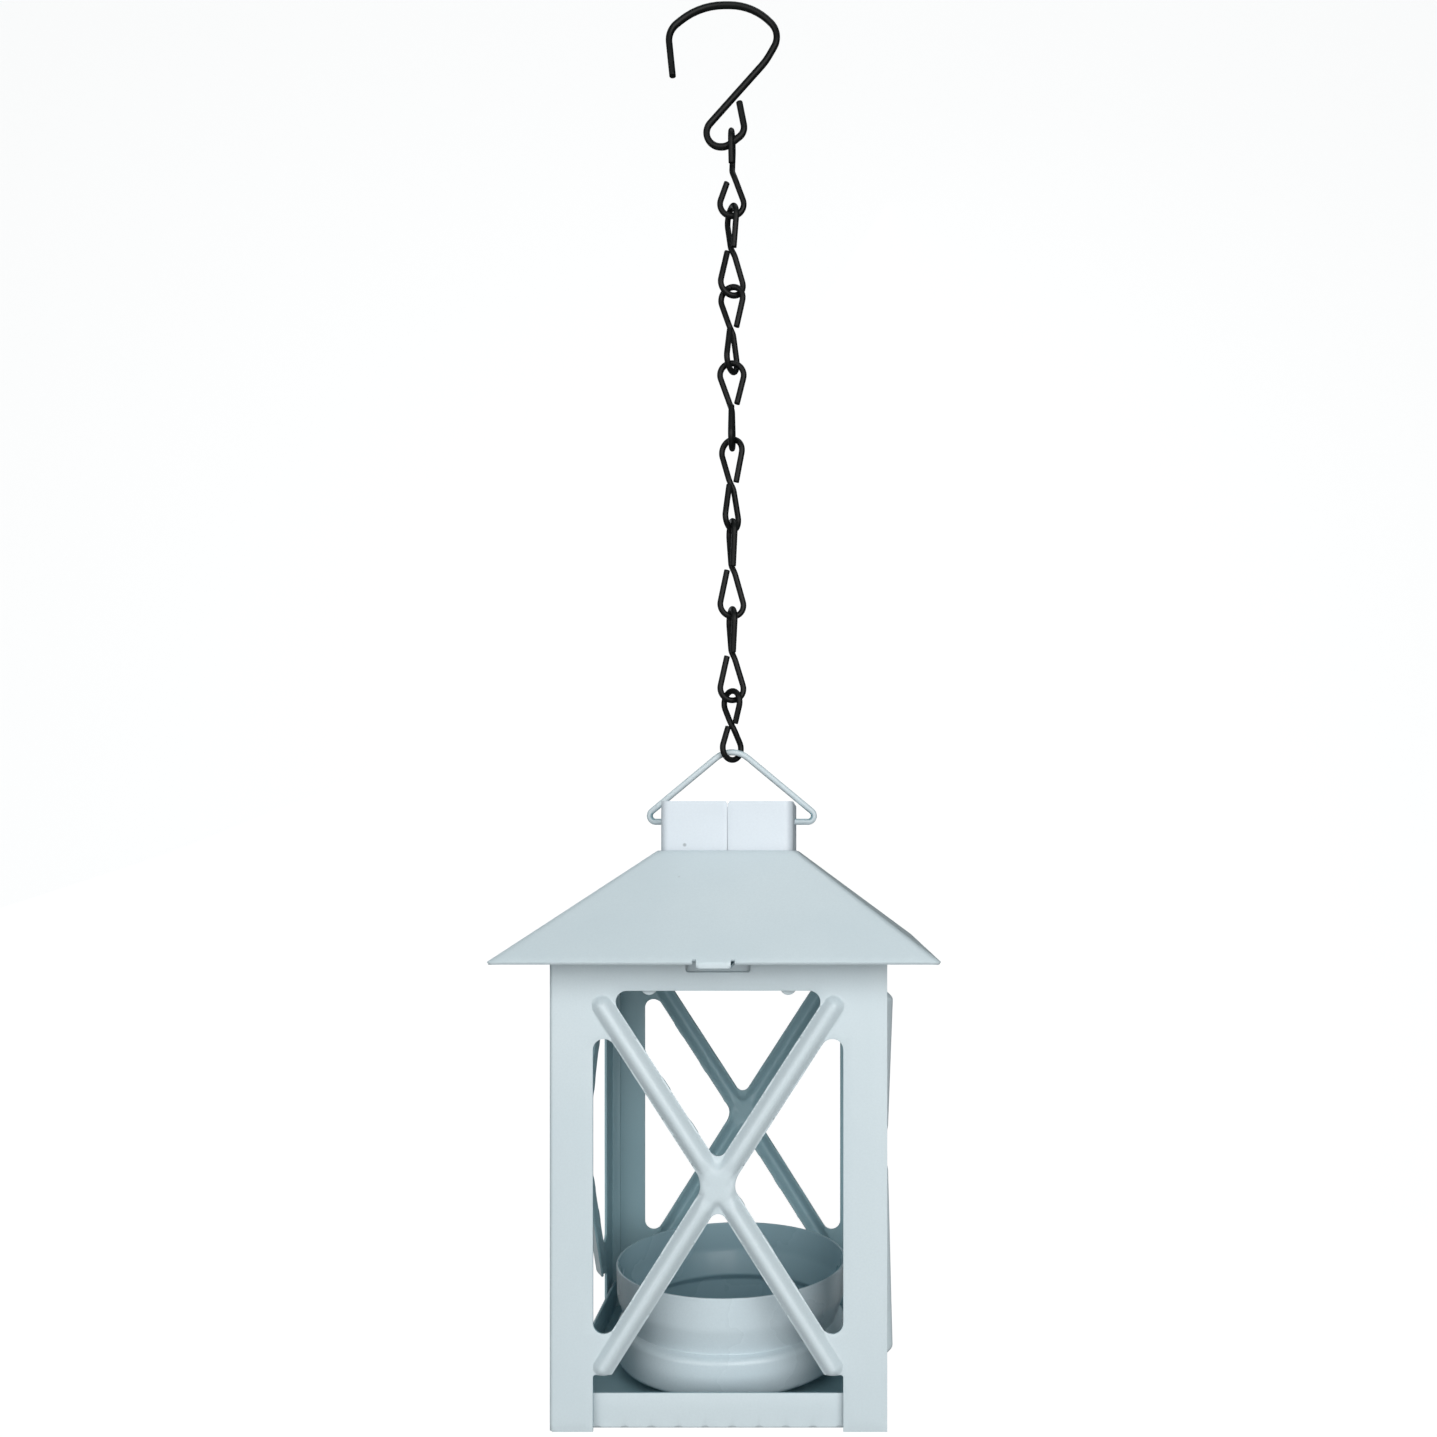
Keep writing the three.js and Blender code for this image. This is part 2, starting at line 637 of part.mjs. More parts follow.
function piece(name, geometry, finish) {
  const mesh = new THREE.Mesh(geometry, new THREE.MeshStandardMaterial(finish));
  mesh.name = name;
  return mesh;
}

const lantern = new THREE.Group();
lantern.add(piece("s_hook", hookGeometry().translate(0, 0, HOOK_WIRE / 2), BLACK));

const seat = hookSeat();
const seatReach = (HOOK_WIRE / 2 + SEAT_GAP + LINK_WIRE / 2) * Math.hypot(1, seat.slope);
let nextTop = HOOK_WIRE / 2 + seat.height + seatReach;
LINKS.forEach(([turn, reach], index) => {
  const openRise = index === 0 ? FIRST_LINK_OPEN_RISE : LINK_OPEN_RISE;
  const link = piece(`chain_link_${index + 1}`, linkGeometry(reach, openRise), BLACK);
  link.position.z = nextTop - reach;
  link.rotation.z = THREE.MathUtils.degToRad(turn);
  lantern.add(link);
  nextTop = link.position.z - reach + LINK_WIRE + SEAT_GAP;
});

const house = new THREE.Group();
house.position.z = nextTop - LINK_WIRE / 2 + BAIL_WIRE / 2 - bailApex;
lantern.add(house);

const frontPressing = bodyPressing();
house.add(
  piece("bail", bailGeometry(), PAINT),
  piece("collar", geometryOf(collarSolid()), PAINT),
  piece("roof", geometryOf(roofSolid()), PAINT),
  piece("top_frame", geometryOf(topFrameSolid()), PAINT),
  piece("body_front_left", geometryOf(frontPressing), PAINT),
  piece("body_back_right", geometryOf(frontPressing.rotate([0, 0, 180])), PAINT),
  piece("base_tray", geometryOf(traySolid()), PAINT),
  piece("candle_cup", geometryOf(cupSolid()), CUP_PAINT),
  piece("cup_rivet", rivetGeometry(), PAINT),
);

export default lantern;
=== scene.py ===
import math

import bmesh
import bpy
from mathutils import Matrix, Vector
from mathutils.geometry import delaunay_2d_cdt


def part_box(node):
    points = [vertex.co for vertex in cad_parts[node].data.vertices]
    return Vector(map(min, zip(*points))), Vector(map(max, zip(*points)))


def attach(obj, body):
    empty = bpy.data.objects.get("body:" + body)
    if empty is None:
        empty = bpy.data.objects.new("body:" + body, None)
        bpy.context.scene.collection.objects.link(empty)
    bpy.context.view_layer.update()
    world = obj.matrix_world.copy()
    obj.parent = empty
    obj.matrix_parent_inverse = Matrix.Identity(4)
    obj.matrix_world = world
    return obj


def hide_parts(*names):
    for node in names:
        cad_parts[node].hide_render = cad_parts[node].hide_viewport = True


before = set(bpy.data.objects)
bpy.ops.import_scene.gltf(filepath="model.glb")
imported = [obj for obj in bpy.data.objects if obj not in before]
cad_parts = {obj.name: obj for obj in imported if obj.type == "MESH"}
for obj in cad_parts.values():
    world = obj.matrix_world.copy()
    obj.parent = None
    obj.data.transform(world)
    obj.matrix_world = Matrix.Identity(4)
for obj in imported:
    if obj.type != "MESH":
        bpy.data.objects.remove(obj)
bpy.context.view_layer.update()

# Lengths are in millimetres, and heights are above the lantern's feet unless said otherwise.
MM = 0.001
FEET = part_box("body_front_left")[0].z / MM
SLIVER = 0.0003  # in square millimetres: smaller triangles are dropped

SHEET = 0.5
SHEET_EDGE = 0.13  # how far a cut edge is softened

BODY_HALF = 30.0
BODY_BEND = 0.9
EAVE_HEIGHT = 84.0
EAVE_HALF = 38.8
PITCH = math.radians(36.95)
SLOPE = math.tan(PITCH)
SLANTED_SHEET = SHEET / math.cos(PITCH)
SLANTED_GAP = 0.3 / math.cos(PITCH)
LAP = 2.3
LAP_GAP = 0.05
POST_WIDTH = 7.8
WINDOW_TOP = 78.2
WINDOW_CORNER = 1.95
WALL_WAVE = 0.05

BRACE_BAND = 4.15
BRACE_CENTRE = 43.8
UPPER_ARM_END = (20.5, 75.5)
LOWER_ARM_END = (21.1, 10.4)
BRACE_FILLET = 3.5
BRACE_NOTCH = 1.5
LEG_HEIGHT = 10.1
RIB_HALF = 1.85
RIB_HEIGHT = 1.5
RIB_LOWER_END = (20.3, 11.6)
RIB_BLEND = 5.0  # a higher value melts the ribs into the pad over a shorter way
PAD_HEIGHT = 1.05
PAD_FLAT = 2.4
PAD_REACH = 4.2
SLOT_HALF = 5.75
SLOT_BOTTOM = EAVE_HEIGHT - 2.5
SLOT_TOP = EAVE_HEIGHT + 0.8

ROOF_TOP_HALF = 13.3
ROOF_HIP = 1.1
ROOF_SAG = 0.10
TAB_HALF = 2.95
TAB_DROP = 1.1
TAB_TURN = 2.6
TAB_RELIEF = 0.7
TAB_RELIEF_DEPTH = 0.9
TAB_END = 27.5

COLLAR_HALF = 12.75
COLLAR_CORNER = 1.8
COLLAR_RISE = 9.5
COLLAR_SEAM_HALF = 0.06
COLLAR_SEAM_SHIFT = 0.2

FRAME_HALF = 28.8
FRAME_VENT_HALF = 16.0
FRAME_LIP_END = 79.0
FRAME_EAR_END = 77.3
FRAME_EAR_HALF = 1.5
FRAME_EARS = (-12.4, 12.4)
DECK_BOTTOM = 86.0

TRAY_HALF = 28.8
TRAY_BOTTOM = 0.05
TRAY_LIP = 6.35
RIVET_HOLE = 1.55
DIMPLE_RISE = 0.5
DIMPLE_RADIUS = 7.0
DIMPLE_TOP = TRAY_BOTTOM + DIMPLE_RISE + SHEET

CUP_RADIUS = 23.04
CUP_NECK = 21.3
CUP_BASE = 22.8
CUP_RIM = 21.0

# The CAD's chain and bail wires are 1.25 and 1.3. These are thinner, so that clash.py lists no pair at the
# joints' limits: see "Poses" in report.md.
LINK_WIRE = 1.2
BAIL_WIRE = 1.24
HOOK_WIRE = 1.35
WIRE_SIDES = 24
WIRE_END_DOME = 0.35  # share of the radius that a rounded end takes
WIRE_STATION_GAP = 1.2

BAIL_HOLE_RADIUS = 0.9
BAIL_HOLE_DROP = 3.6
BAIL_STANDOFF = 3.85
BAIL_RISE = 15.6
BAIL_END_BEND = 1.2
BAIL_APEX_BEND = 5.1
BAIL_STUB = 1.2

# Each link from the top: degrees about the chain, and length from its waist to the wire's centre at an end.
LINKS = ((0, 8.42), (26, 8.92), (70, 8.52), (90, 8.57), (62, 9.07), (18, 9.63), (18, 9.23), (45, 6.98))
LINK_END_BEND = 2.4
LINK_WAIST_BEND = 3.0
LINK_WAIST_SHIFT = 0.62
LINK_WAIST_RISE = 0.85
LINK_OPEN_END = 1.0
LINK_OPEN_RISE = 0.35
FIRST_LINK_OPEN_RISE = 1.7

# Linear colours. The house's and the cup's inside colours are painted shade: the darker teal of their shaded
# insides.
HOUSE_LIGHT, HOUSE_DARK, HOUSE_INSIDE_SHADE = (0.60, 0.685, 0.72), (0.565, 0.655, 0.695), (0.28, 0.43, 0.48)
COLLAR_LIGHT, COLLAR_DARK = (0.665, 0.725, 0.78), (0.63, 0.695, 0.75)
CUP_LIGHT, CUP_DARK, CUP_INSIDE_SHADE = (0.57, 0.665, 0.71), (0.54, 0.64, 0.69), (0.31, 0.46, 0.52)
SPECK = (0.16, 0.19, 0.2)
ENAMEL_DARK, ENAMEL_PALE, ENAMEL_WORN = (0.003, 0.0034, 0.0034), (0.007, 0.0078, 0.0078), (0.03, 0.031, 0.03)
STAGE_GREY = (0.3, 0.3, 0.3)
SKY = (0.25, 0.85, 1)
WHITE = (1, 1, 1)

INSIDE_SHADE_FLOOR_LEAN = 6.0  # for the painted inside shade, a face that looks up counts as one that looks inward from this far off the axis
CLOUD_SCALE = 45
GRAIN_SCALE = 2600
SPECK_SCALE = 150
PEEL_SCALE = 420

roof_top = EAVE_HEIGHT + (EAVE_HALF - ROOF_TOP_HALF) * SLOPE
collar_top = roof_top + COLLAR_RISE
bail_axis = collar_top - BAIL_HOLE_DROP


def roof_height(distance):
    return EAVE_HEIGHT + (EAVE_HALF - distance) * SLOPE


wall_top = roof_height(BODY_HALF) - SLANTED_SHEET - SLANTED_GAP
collar_foot = roof_height(COLLAR_HALF) - SLANTED_SHEET - SLANTED_GAP


# ---- Small geometry helpers ----

def corner_arc(before, corner, after, radius, step_angle=math.radians(12)):
    if radius <= 0:
        return [corner.copy()]
    into = (corner - before).normalized()
    out_of = (after - corner).normalized()
    turn = into.angle(out_of)
    start = corner - into * radius * math.tan(turn / 2)
    inward = (out_of - into * into.dot(out_of)).normalized()
    steps = max(2, math.ceil(turn / step_angle))
    points = []
    for step in range(steps + 1):
        angle = turn * step / steps
        points.append(start + into * radius * math.sin(angle) + inward * radius * (1 - math.cos(angle)))
    return points


def rounded_path(corners, step_angle=math.radians(12)):
    """An open path through corners given as (point, bend radius)."""
    points = [corners[0][0].copy()]
    for index in range(1, len(corners) - 1):
        before, after = corners[index - 1][0], corners[index + 1][0]
        points += corner_arc(before, corners[index][0], after, corners[index][1], step_angle)
    points.append(corners[-1][0].copy())
    return points


def rounded_outline(corners):
    """A closed outline in the plane through corners given as (across, up, radius)."""
    places = [Vector((across, up, 0)) for across, up, _ in corners]
    points = []
    for index, corner in enumerate(corners):
        before, after = places[index - 1], places[(index + 1) % len(places)]
        points += corner_arc(before, places[index], after, corner[2])
    return [(point.x, point.y) for point in points]


def spaced(outline, spacing):
    """The outline with its long stretches divided."""
    points = []
    for index, (x0, y0) in enumerate(outline):
        x1, y1 = outline[(index + 1) % len(outline)]
        parts = max(1, math.ceil(math.hypot(x1 - x0, y1 - y0) / spacing))
        points += [(x0 + (x1 - x0) * part / parts, y0 + (y1 - y0) * part / parts) for part in range(parts)]
    return points


def make_object(name, points, faces, material):
    """A smooth-shaded mesh object from points in millimetres above the feet."""
    mesh = bpy.data.meshes.new(name)
    mesh.from_pydata([(x * MM, y * MM, (z + FEET) * MM) for x, y, z in points], [], faces)
    mesh.polygons.foreach_set("use_smooth", [True] * len(mesh.polygons))
    mesh.materials.append(material)
    piece = bpy.data.objects.new(name, mesh)
    bpy.context.scene.collection.objects.link(piece)
    return piece


def merge_mesh(piece, distance=0.004):
    shell = bmesh.new()
    shell.from_mesh(piece.data)
    bmesh.ops.remove_doubles(shell, verts=shell.verts, dist=distance * MM)
    bmesh.ops.dissolve_degenerate(shell, edges=shell.edges, dist=0.0005 * MM)
    bmesh.ops.recalc_face_normals(shell, faces=shell.faces)
    shell.to_mesh(piece.data)
    shell.free()


def apply_modifiers(piece):
    graph = bpy.context.evaluated_depsgraph_get()
    made = bpy.data.meshes.new_from_object(piece.evaluated_get(graph))
    old = piece.data
    piece.modifiers.clear()
    piece.data = made
    made.name = piece.name
    bpy.data.meshes.remove(old)


def thicken(piece, outward_check):
    """Makes a closed sheet of a surface: thickness goes inward, and the cut edges are softened."""
    shell = bmesh.new()
    shell.from_mesh(piece.data)
    bmesh.ops.recalc_face_normals(shell, faces=shell.faces)
    shell.faces.ensure_lookup_table()
    if sum(outward_check(face) for face in shell.faces) < 0:
        bmesh.ops.reverse_faces(shell, faces=shell.faces)
    shell.to_mesh(piece.data)
    shell.free()
    solid = piece.modifiers.new("sheet", "SOLIDIFY")
    solid.thickness = SHEET * MM
    solid.offset = -1
    solid.use_even_offset = False
    soften = piece.modifiers.new("edges", "BEVEL")
    soften.width = SHEET_EDGE * MM
    soften.segments = 2
    soften.limit_method = "ANGLE"
    soften.angle_limit = math.radians(50)
    soften.use_clamp_overlap = True
    soften.harden_normals = False
    apply_modifiers(piece)


def faces_up(face):
    return face.normal.z * face.calc_area()


def faces_down(face):
    return -face.normal.z * face.calc_area()


def faces_out(face):
    """Positive where the face looks away from the lantern's axis."""
    return face.normal.dot(face.calc_center_median() * Vector((1, 1, 0))) * face.calc_area()


def triangulated(outlines, inner_points, inside, spacing):
    """Triangles of a flat region bounded by outlines, through the inner points too."""
    verts, edges = [], []
    for outline in outlines:
        ring = spaced(outline, spacing)
        first = len(verts)
        verts += [Vector(point) for point in ring]
        edges += [(first + i, first + (i + 1) % len(ring)) for i in range(len(ring))]
    verts += [Vector(point) for point in inner_points]
    made = delaunay_2d_cdt(verts, edges, [], 0, 1e-4)
    points, faces = made[0], made[2]
    kept = []
    for face in faces:
        corners = [points[i] for i in face]
        centre = sum(corners, Vector((0, 0))) / len(face)
        area = abs((corners[1] - corners[0]).cross(corners[2] - corners[0])) / 2
        if area > SLIVER and inside(centre.x, centre.y):
            kept.append(face)
    return points, kept


def contains(outline, x, y):
    hit = False
    for index, (x0, y0) in enumerate(outline):
        x1, y1 = outline[index - 1]
        if (y0 > y) != (y1 > y) and x < (x1 - x0) * (y - y0) / (y1 - y0) + x0:
            hit = not hit
    return hit


def distance_to(outline, x, y):
    """Shortest distance from a point to a closed outline."""
    best = 1e9
    for index, (x0, y0) in enumerate(outline):
        x1, y1 = outline[index - 1]
        dx, dy = x1 - x0, y1 - y0
        length = dx * dx + dy * dy
        along = 0 if length == 0 else max(0, min(1, ((x - x0) * dx + (y - y0) * dy) / length))
        best = min(best, math.hypot(x - x0 - along * dx, y - y0 - along * dy))
    return best


def smooth_step(low, high, value):
    t = max(0.0, min(1.0, (value - low) / (high - low)))
    return t * t * (3 - 2 * t)


# ---- Materials ----

def node(tree, kind, place=(0, 0), **values):
    made = tree.nodes.new(kind)
    made.location = place
    for name, value in values.items():
        setattr(made, name, value)
    return made


def noise(tree, coordinates, scale, detail=3.0, roughness=0.5):
    made = node(tree, "ShaderNodeTexNoise")
    made.inputs["Scale"].default_value = scale
    made.inputs["Detail"].default_value = detail
    made.inputs["Roughness"].default_value = roughness
    tree.links.new(coordinates, made.inputs["Vector"])
    return made


def remap(tree, value, low, high, to_low, to_high):
    made = node(tree, "ShaderNodeMapRange", clamp=True)
    made.inputs["From Min"].default_value = low
    made.inputs["From Max"].default_value = high
    made.inputs["To Min"].default_value = to_low
    made.inputs["To Max"].default_value = to_high
    tree.links.new(value, made.inputs["Value"])
    return made.outputs["Result"]


def mix_colour(tree, amount, first, second):
    made = node(tree, "ShaderNodeMix", data_type="RGBA")
    tree.links.new(amount, made.inputs[0])
    for value, socket in ((first, made.inputs[6]), (second, made.inputs[7])):
        if isinstance(value, tuple):
            socket.default_value = (*value, 1)
        else:
            tree.links.new(value, socket)
    return made.outputs[2]


def bump(tree, height, strength, distance, normal=None):
    made = node(tree, "ShaderNodeBump")
    made.inputs["Strength"].default_value = strength
    made.inputs["Distance"].default_value = distance
    tree.links.new(height, made.inputs["Height"])
    if normal is not None:
        tree.links.new(normal, made.inputs["Normal"])
    return made.outputs["Normal"]


def start_material(name):
    material = bpy.data.materials.new(name)
    material.use_nodes = True
    tree = material.node_tree
    tree.nodes.clear()
    output = node(tree, "ShaderNodeOutputMaterial", (600, 0))
    shader = node(tree, "ShaderNodeBsdfPrincipled", (300, 0))
    tree.links.new(shader.outputs[0], output.inputs[0])
    coordinates = node(tree, "ShaderNodeTexCoord", (-900, 0)).outputs["Object"]
    return material, tree, shader, coordinates


def inside_shade_mask(tree, coordinates):
    """Painted shade: 1 on surfaces that face the lantern's axis or look up from its floor, where the inside
    lies in shade, 0 on the ones that face out.
    """
    normal = node(tree, "ShaderNodeTexCoord").outputs["Normal"]
    flat = node(tree, "ShaderNodeVectorMath", operation="MULTIPLY")
    flat.inputs[1].default_value = (1, 1, 0)
    tree.links.new(coordinates, flat.inputs[0])
    outward = node(tree, "ShaderNodeVectorMath", operation="DOT_PRODUCT")
    tree.links.new(flat.outputs["Vector"], outward.inputs[0])
    tree.links.new(normal, outward.inputs[1])
    up = node(tree, "ShaderNodeVectorMath", operation="DOT_PRODUCT")
    up.inputs[1].default_value = (0, 0, INSIDE_SHADE_FLOOR_LEAN * MM)
    tree.links.new(normal, up.inputs[0])
    facing = node(tree, "ShaderNodeMath", operation="SUBTRACT")
    tree.links.new(outward.outputs["Value"], facing.inputs[0])
    tree.links.new(up.outputs["Value"], facing.inputs[1])
    return remap(tree, facing.outputs[0], -INSIDE_SHADE_FLOOR_LEAN * MM, -INSIDE_SHADE_FLOOR_LEAN * MM / 3, 1, 0)


def paint_material(name, light, dark, roughness, grain=0.12, specks=True, inner=None):
    """Powder-coated sheet steel: faint clouding, a fine grain, a few dark specks, and painted shade on the
    inside.
    """
    material, tree, shader, coordinates = start_material(name)
    clouds = noise(tree, coordinates, CLOUD_SCALE, 4.0).outputs["Fac"]
    colour = mix_colour(tree, remap(tree, clouds, 0.3, 0.7, 0, 1), light, dark)
    fine = noise(tree, coordinates, GRAIN_SCALE, 2.0).outputs["Fac"]
    tint = remap(tree, fine, 0.25, 0.75, 0, 1)
    grainy = tuple(channel * 0.93 for channel in dark)
    half = node(tree, "ShaderNodeMath", operation="MULTIPLY")
    tree.links.new(tint, half.inputs[0])
    half.inputs[1].default_value = 0.45
    colour = mix_colour(tree, half.outputs[0], colour, grainy)
    if specks:
        cells = node(tree, "ShaderNodeTexVoronoi", feature="F1")
        cells.inputs["Scale"].default_value = SPECK_SCALE
        tree.links.new(coordinates, cells.inputs["Vector"])
        spot = remap(tree, cells.outputs["Distance"], 0.035, 0.07, 1, 0)
        chosen = node(tree, "ShaderNodeSeparateColor")
        tree.links.new(cells.outputs["Color"], chosen.inputs[0])
        rare = remap(tree, chosen.outputs[0], 0.60, 0.62, 0, 0.6)
        both = node(tree, "ShaderNodeMath", operation="MULTIPLY")
        tree.links.new(spot, both.inputs[0])
        tree.links.new(rare, both.inputs[1])
        colour = mix_colour(tree, both.outputs[0], colour, SPECK)
    # Painted shade: surfaces that face inward are darkened towards the inner colour, standing in for the
    # shade inside the lantern and cup.
    if inner:
        colour = mix_colour(tree, inside_shade_mask(tree, coordinates), colour, inner)
    tree.links.new(colour, shader.inputs["Base Color"])
    dullness = remap(tree, clouds, 0.3, 0.7, roughness - 0.05, roughness + 0.06)
    tree.links.new(dullness, shader.inputs["Roughness"])
    waves = noise(tree, coordinates, PEEL_SCALE, 2.0).outputs["Fac"]
    orange_peel = bump(tree, waves, grain, 0.0001)
    tree.links.new(bump(tree, fine, grain * 1.4, 0.00004, orange_peel), shader.inputs["Normal"])
    shader.inputs["IOR"].default_value = 1.5
    return material


def enamel_material(name):
    """Black enamel on bent wire: near black, slightly uneven, thinly worn."""
    material, tree, shader, coordinates = start_material(name)
    clouds = noise(tree, coordinates, 260, 4.0).outputs["Fac"]
    amount = remap(tree, clouds, 0.35, 0.7, 0, 1)
    colour = mix_colour(tree, amount, ENAMEL_DARK, ENAMEL_PALE)
    worn = noise(tree, coordinates, 900, 5.0, 0.65).outputs["Fac"]
    colour = mix_colour(tree, remap(tree, worn, 0.68, 0.76, 0, 0.5), colour, ENAMEL_WORN)
    tree.links.new(colour, shader.inputs["Base Color"])
    tree.links.new(remap(tree, clouds, 0.3, 0.7, 0.34, 0.5), shader.inputs["Roughness"])
    tree.links.new(bump(tree, worn, 0.25, 0.00008), shader.inputs["Normal"])
    shader.inputs["Specular IOR Level"].default_value = 0.2
    return material


# The house and cup paints carry painted shade on their inward faces.
house_paint_and_inside_shade = paint_material("house_paint_and_inside_shade", HOUSE_LIGHT, HOUSE_DARK, 0.36, inner=HOUSE_INSIDE_SHADE)
collar_paint = paint_material("collar_paint", COLLAR_LIGHT, COLLAR_DARK, 0.44)
cup_paint = paint_material("cup_paint", CUP_LIGHT, CUP_DARK, 0.27, 0.06, False, inner=CUP_INSIDE_SHADE)
enamel = enamel_material("black_enamel")


# ---- Body pressings ----

def brace_line(end):
    slope = (end[1] - BRACE_CENTRE) / end[0]
    return slope, BRACE_BAND / 2 * math.hypot(1, slope)


def window_outlines():
    """The four cut-outs of a wall, across from its middle and up from the feet."""
    post = BODY_HALF - POST_WIDTH
    upper_slope, upper_rise = brace_line(UPPER_ARM_END)
    lower_slope, lower_rise = brace_line(LOWER_ARM_END)
    top_notch = BRACE_CENTRE + upper_rise
    top_corner = (WINDOW_TOP - top_notch) / upper_slope
    windows = [rounded_outline([
        (0, top_notch, BRACE_NOTCH),
        (top_corner, WINDOW_TOP, WINDOW_CORNER),
        (-top_corner, WINDOW_TOP, WINDOW_CORNER),
    ])]
    tip = (upper_rise + lower_rise) / (upper_slope - lower_slope)
    tip_height = BRACE_CENTRE - upper_rise + upper_slope * tip
    for side in (1, -1):
        windows.append(rounded_outline([
            (side * tip, tip_height, BRACE_FILLET),
            (side * post, BRACE_CENTRE - upper_rise + upper_slope * post, WINDOW_CORNER),
            (side * post, BRACE_CENTRE + lower_rise + lower_slope * post, WINDOW_CORNER),
        ]))
    return windows


def foot_outline():
    """The lowest cut-out, open at the feet, as the path from one leg to the other."""
    post = BODY_HALF - POST_WIDTH
    lower_slope, lower_rise = brace_line(LOWER_ARM_END)
    bottom_notch = BRACE_CENTRE - lower_rise
    ledge = (LEG_HEIGHT - bottom_notch) / lower_slope
    corners = [
        (-post, 0, 0), (-post, LEG_HEIGHT, SHEET), (-ledge, LEG_HEIGHT, SHEET),
        (0, bottom_notch, BRACE_NOTCH),
        (ledge, LEG_HEIGHT, SHEET), (post, LEG_HEIGHT, SHEET), (post, 0, 0),
    ]
    path = rounded_path([(Vector((across, up, 0)), radius) for across, up, radius in corners])
    return [(point.x, point.y) for point in path]


def slot_outline():
    return rounded_outline([
        (-SLOT_HALF, SLOT_BOTTOM, SHEET), (SLOT_HALF, SLOT_BOTTOM, SHEET),
        (SLOT_HALF, SLOT_TOP, SHEET), (-SLOT_HALF, SLOT_TOP, SHEET),
    ])


ARMS = [(sign * end[0], end[1]) for end in (UPPER_ARM_END, RIB_LOWER_END) for sign in (1, -1)]


def arm_distance(across, up, end):
    dx, dy = end[0], end[1] - BRACE_CENTRE
    length = math.hypot(dx, dy)
    along = (across * dx + (up - BRACE_CENTRE) * dy) / length
    beside = abs(across * dy - (up - BRACE_CENTRE) * dx) / length
    if along < 0:
        return math.hypot(across, up - BRACE_CENTRE), along
    if along > length:
        return math.hypot(across - end[0], up - end[1]), along
    return beside, along


def rib_profile(distance):
    """Height of the rib's rounded section at a distance from its middle line."""
    t = min(1.0, distance / RIB_HALF)
    round_top = 1 - t * t
    return RIB_HEIGHT * round_top * (0.72 + 0.28 * round_top)


def wall_relief(across, up):
    """How far the wall stands out of its plane: ribs that melt into a soft pad where they cross."""
    reach = math.hypot(across, up - BRACE_CENTRE)
    rib = max(rib_profile(arm_distance(across, up, end)[0]) for end in ARMS)
    pad = PAD_HEIGHT * (1 - smooth_step(PAD_FLAT, PAD_REACH, reach))
    fade = smooth_step(PAD_FLAT, PAD_REACH + 1.2, reach)
    rib = PAD_HEIGHT + (rib - PAD_HEIGHT) * fade if rib > PAD_HEIGHT else rib
    return math.log(math.exp(RIB_BLEND * rib) + math.exp(RIB_BLEND * pad) - 1) / RIB_BLEND


def relief_points():
    """Points of a fine mesh along the ribs and of a finer one at the crossing, in wall coordinates."""
    points = []
    offsets = (0, 0.22, 0.45, 0.7, 0.95, 1.2, 1.45, 1.7, 1.85, 2.15)
    for end in ARMS:
        dx, dy = end[0], end[1] - BRACE_CENTRE
        length = math.hypot(dx, dy)
        ux, uy = dx / length, dy / length
        stations = int((length - 4.4) / 0.8)
        for station in range(stations + 1):
            along = 4.4 + (length - 4.4) * station / stations
            for offset in offsets:
                for sign in ((1, -1) if offset else (1,)):
                    points.append((ux * along - sign * uy * offset,
                                   BRACE_CENTRE + uy * along + sign * ux * offset))
        for offset in offsets[1:]:
            count = max(4, int(offset * 7))
            for step in range(1, count):
                angle = math.atan2(uy, ux) + math.pi * (step / count - 0.5)
                points.append((end[0] + offset * math.cos(angle), end[1] + offset * math.sin(angle)))
    cells = 11
    for row in range(-cells, cells + 1):
        for column in range(-cells, cells + 1):
            x, y = column * 0.42, row * 0.42
            if math.hypot(x, y) < 4.5:
                points.append((x, BRACE_CENTRE + y))
    return points


def coarse_points(low, high, spacing):
    points = []
    across_steps = round((high[0] - low[0]) / spacing)
    up_steps = round((high[1] - low[1]) / spacing)
    for row in range(1, up_steps):
        for column in range(1, across_steps):
            points.append((low[0] + (high[0] - low[0]) * column / across_steps,
                           low[1] + (high[1] - low[1]) * row / up_steps))
    return points


FRONT_LENGTH = 2 * BODY_HALF - BODY_BEND
BEND_LENGTH = BODY_BEND * math.pi / 2
LAP_WALL = BODY_HALF - SHEET - LAP_GAP
SIDE_LENGTH = BODY_HALF + LAP_WALL - 2 * BODY_BEND
LAP_LENGTH = LAP - BODY_BEND
SIDE_START = FRONT_LENGTH + BEND_LENGTH
SIDE_MIDDLE = SIDE_START + BODY_HALF - BODY_BEND
LAP_START = SIDE_START + SIDE_LENGTH + BEND_LENGTH
SHEET_LENGTH = LAP_START + LAP_LENGTH


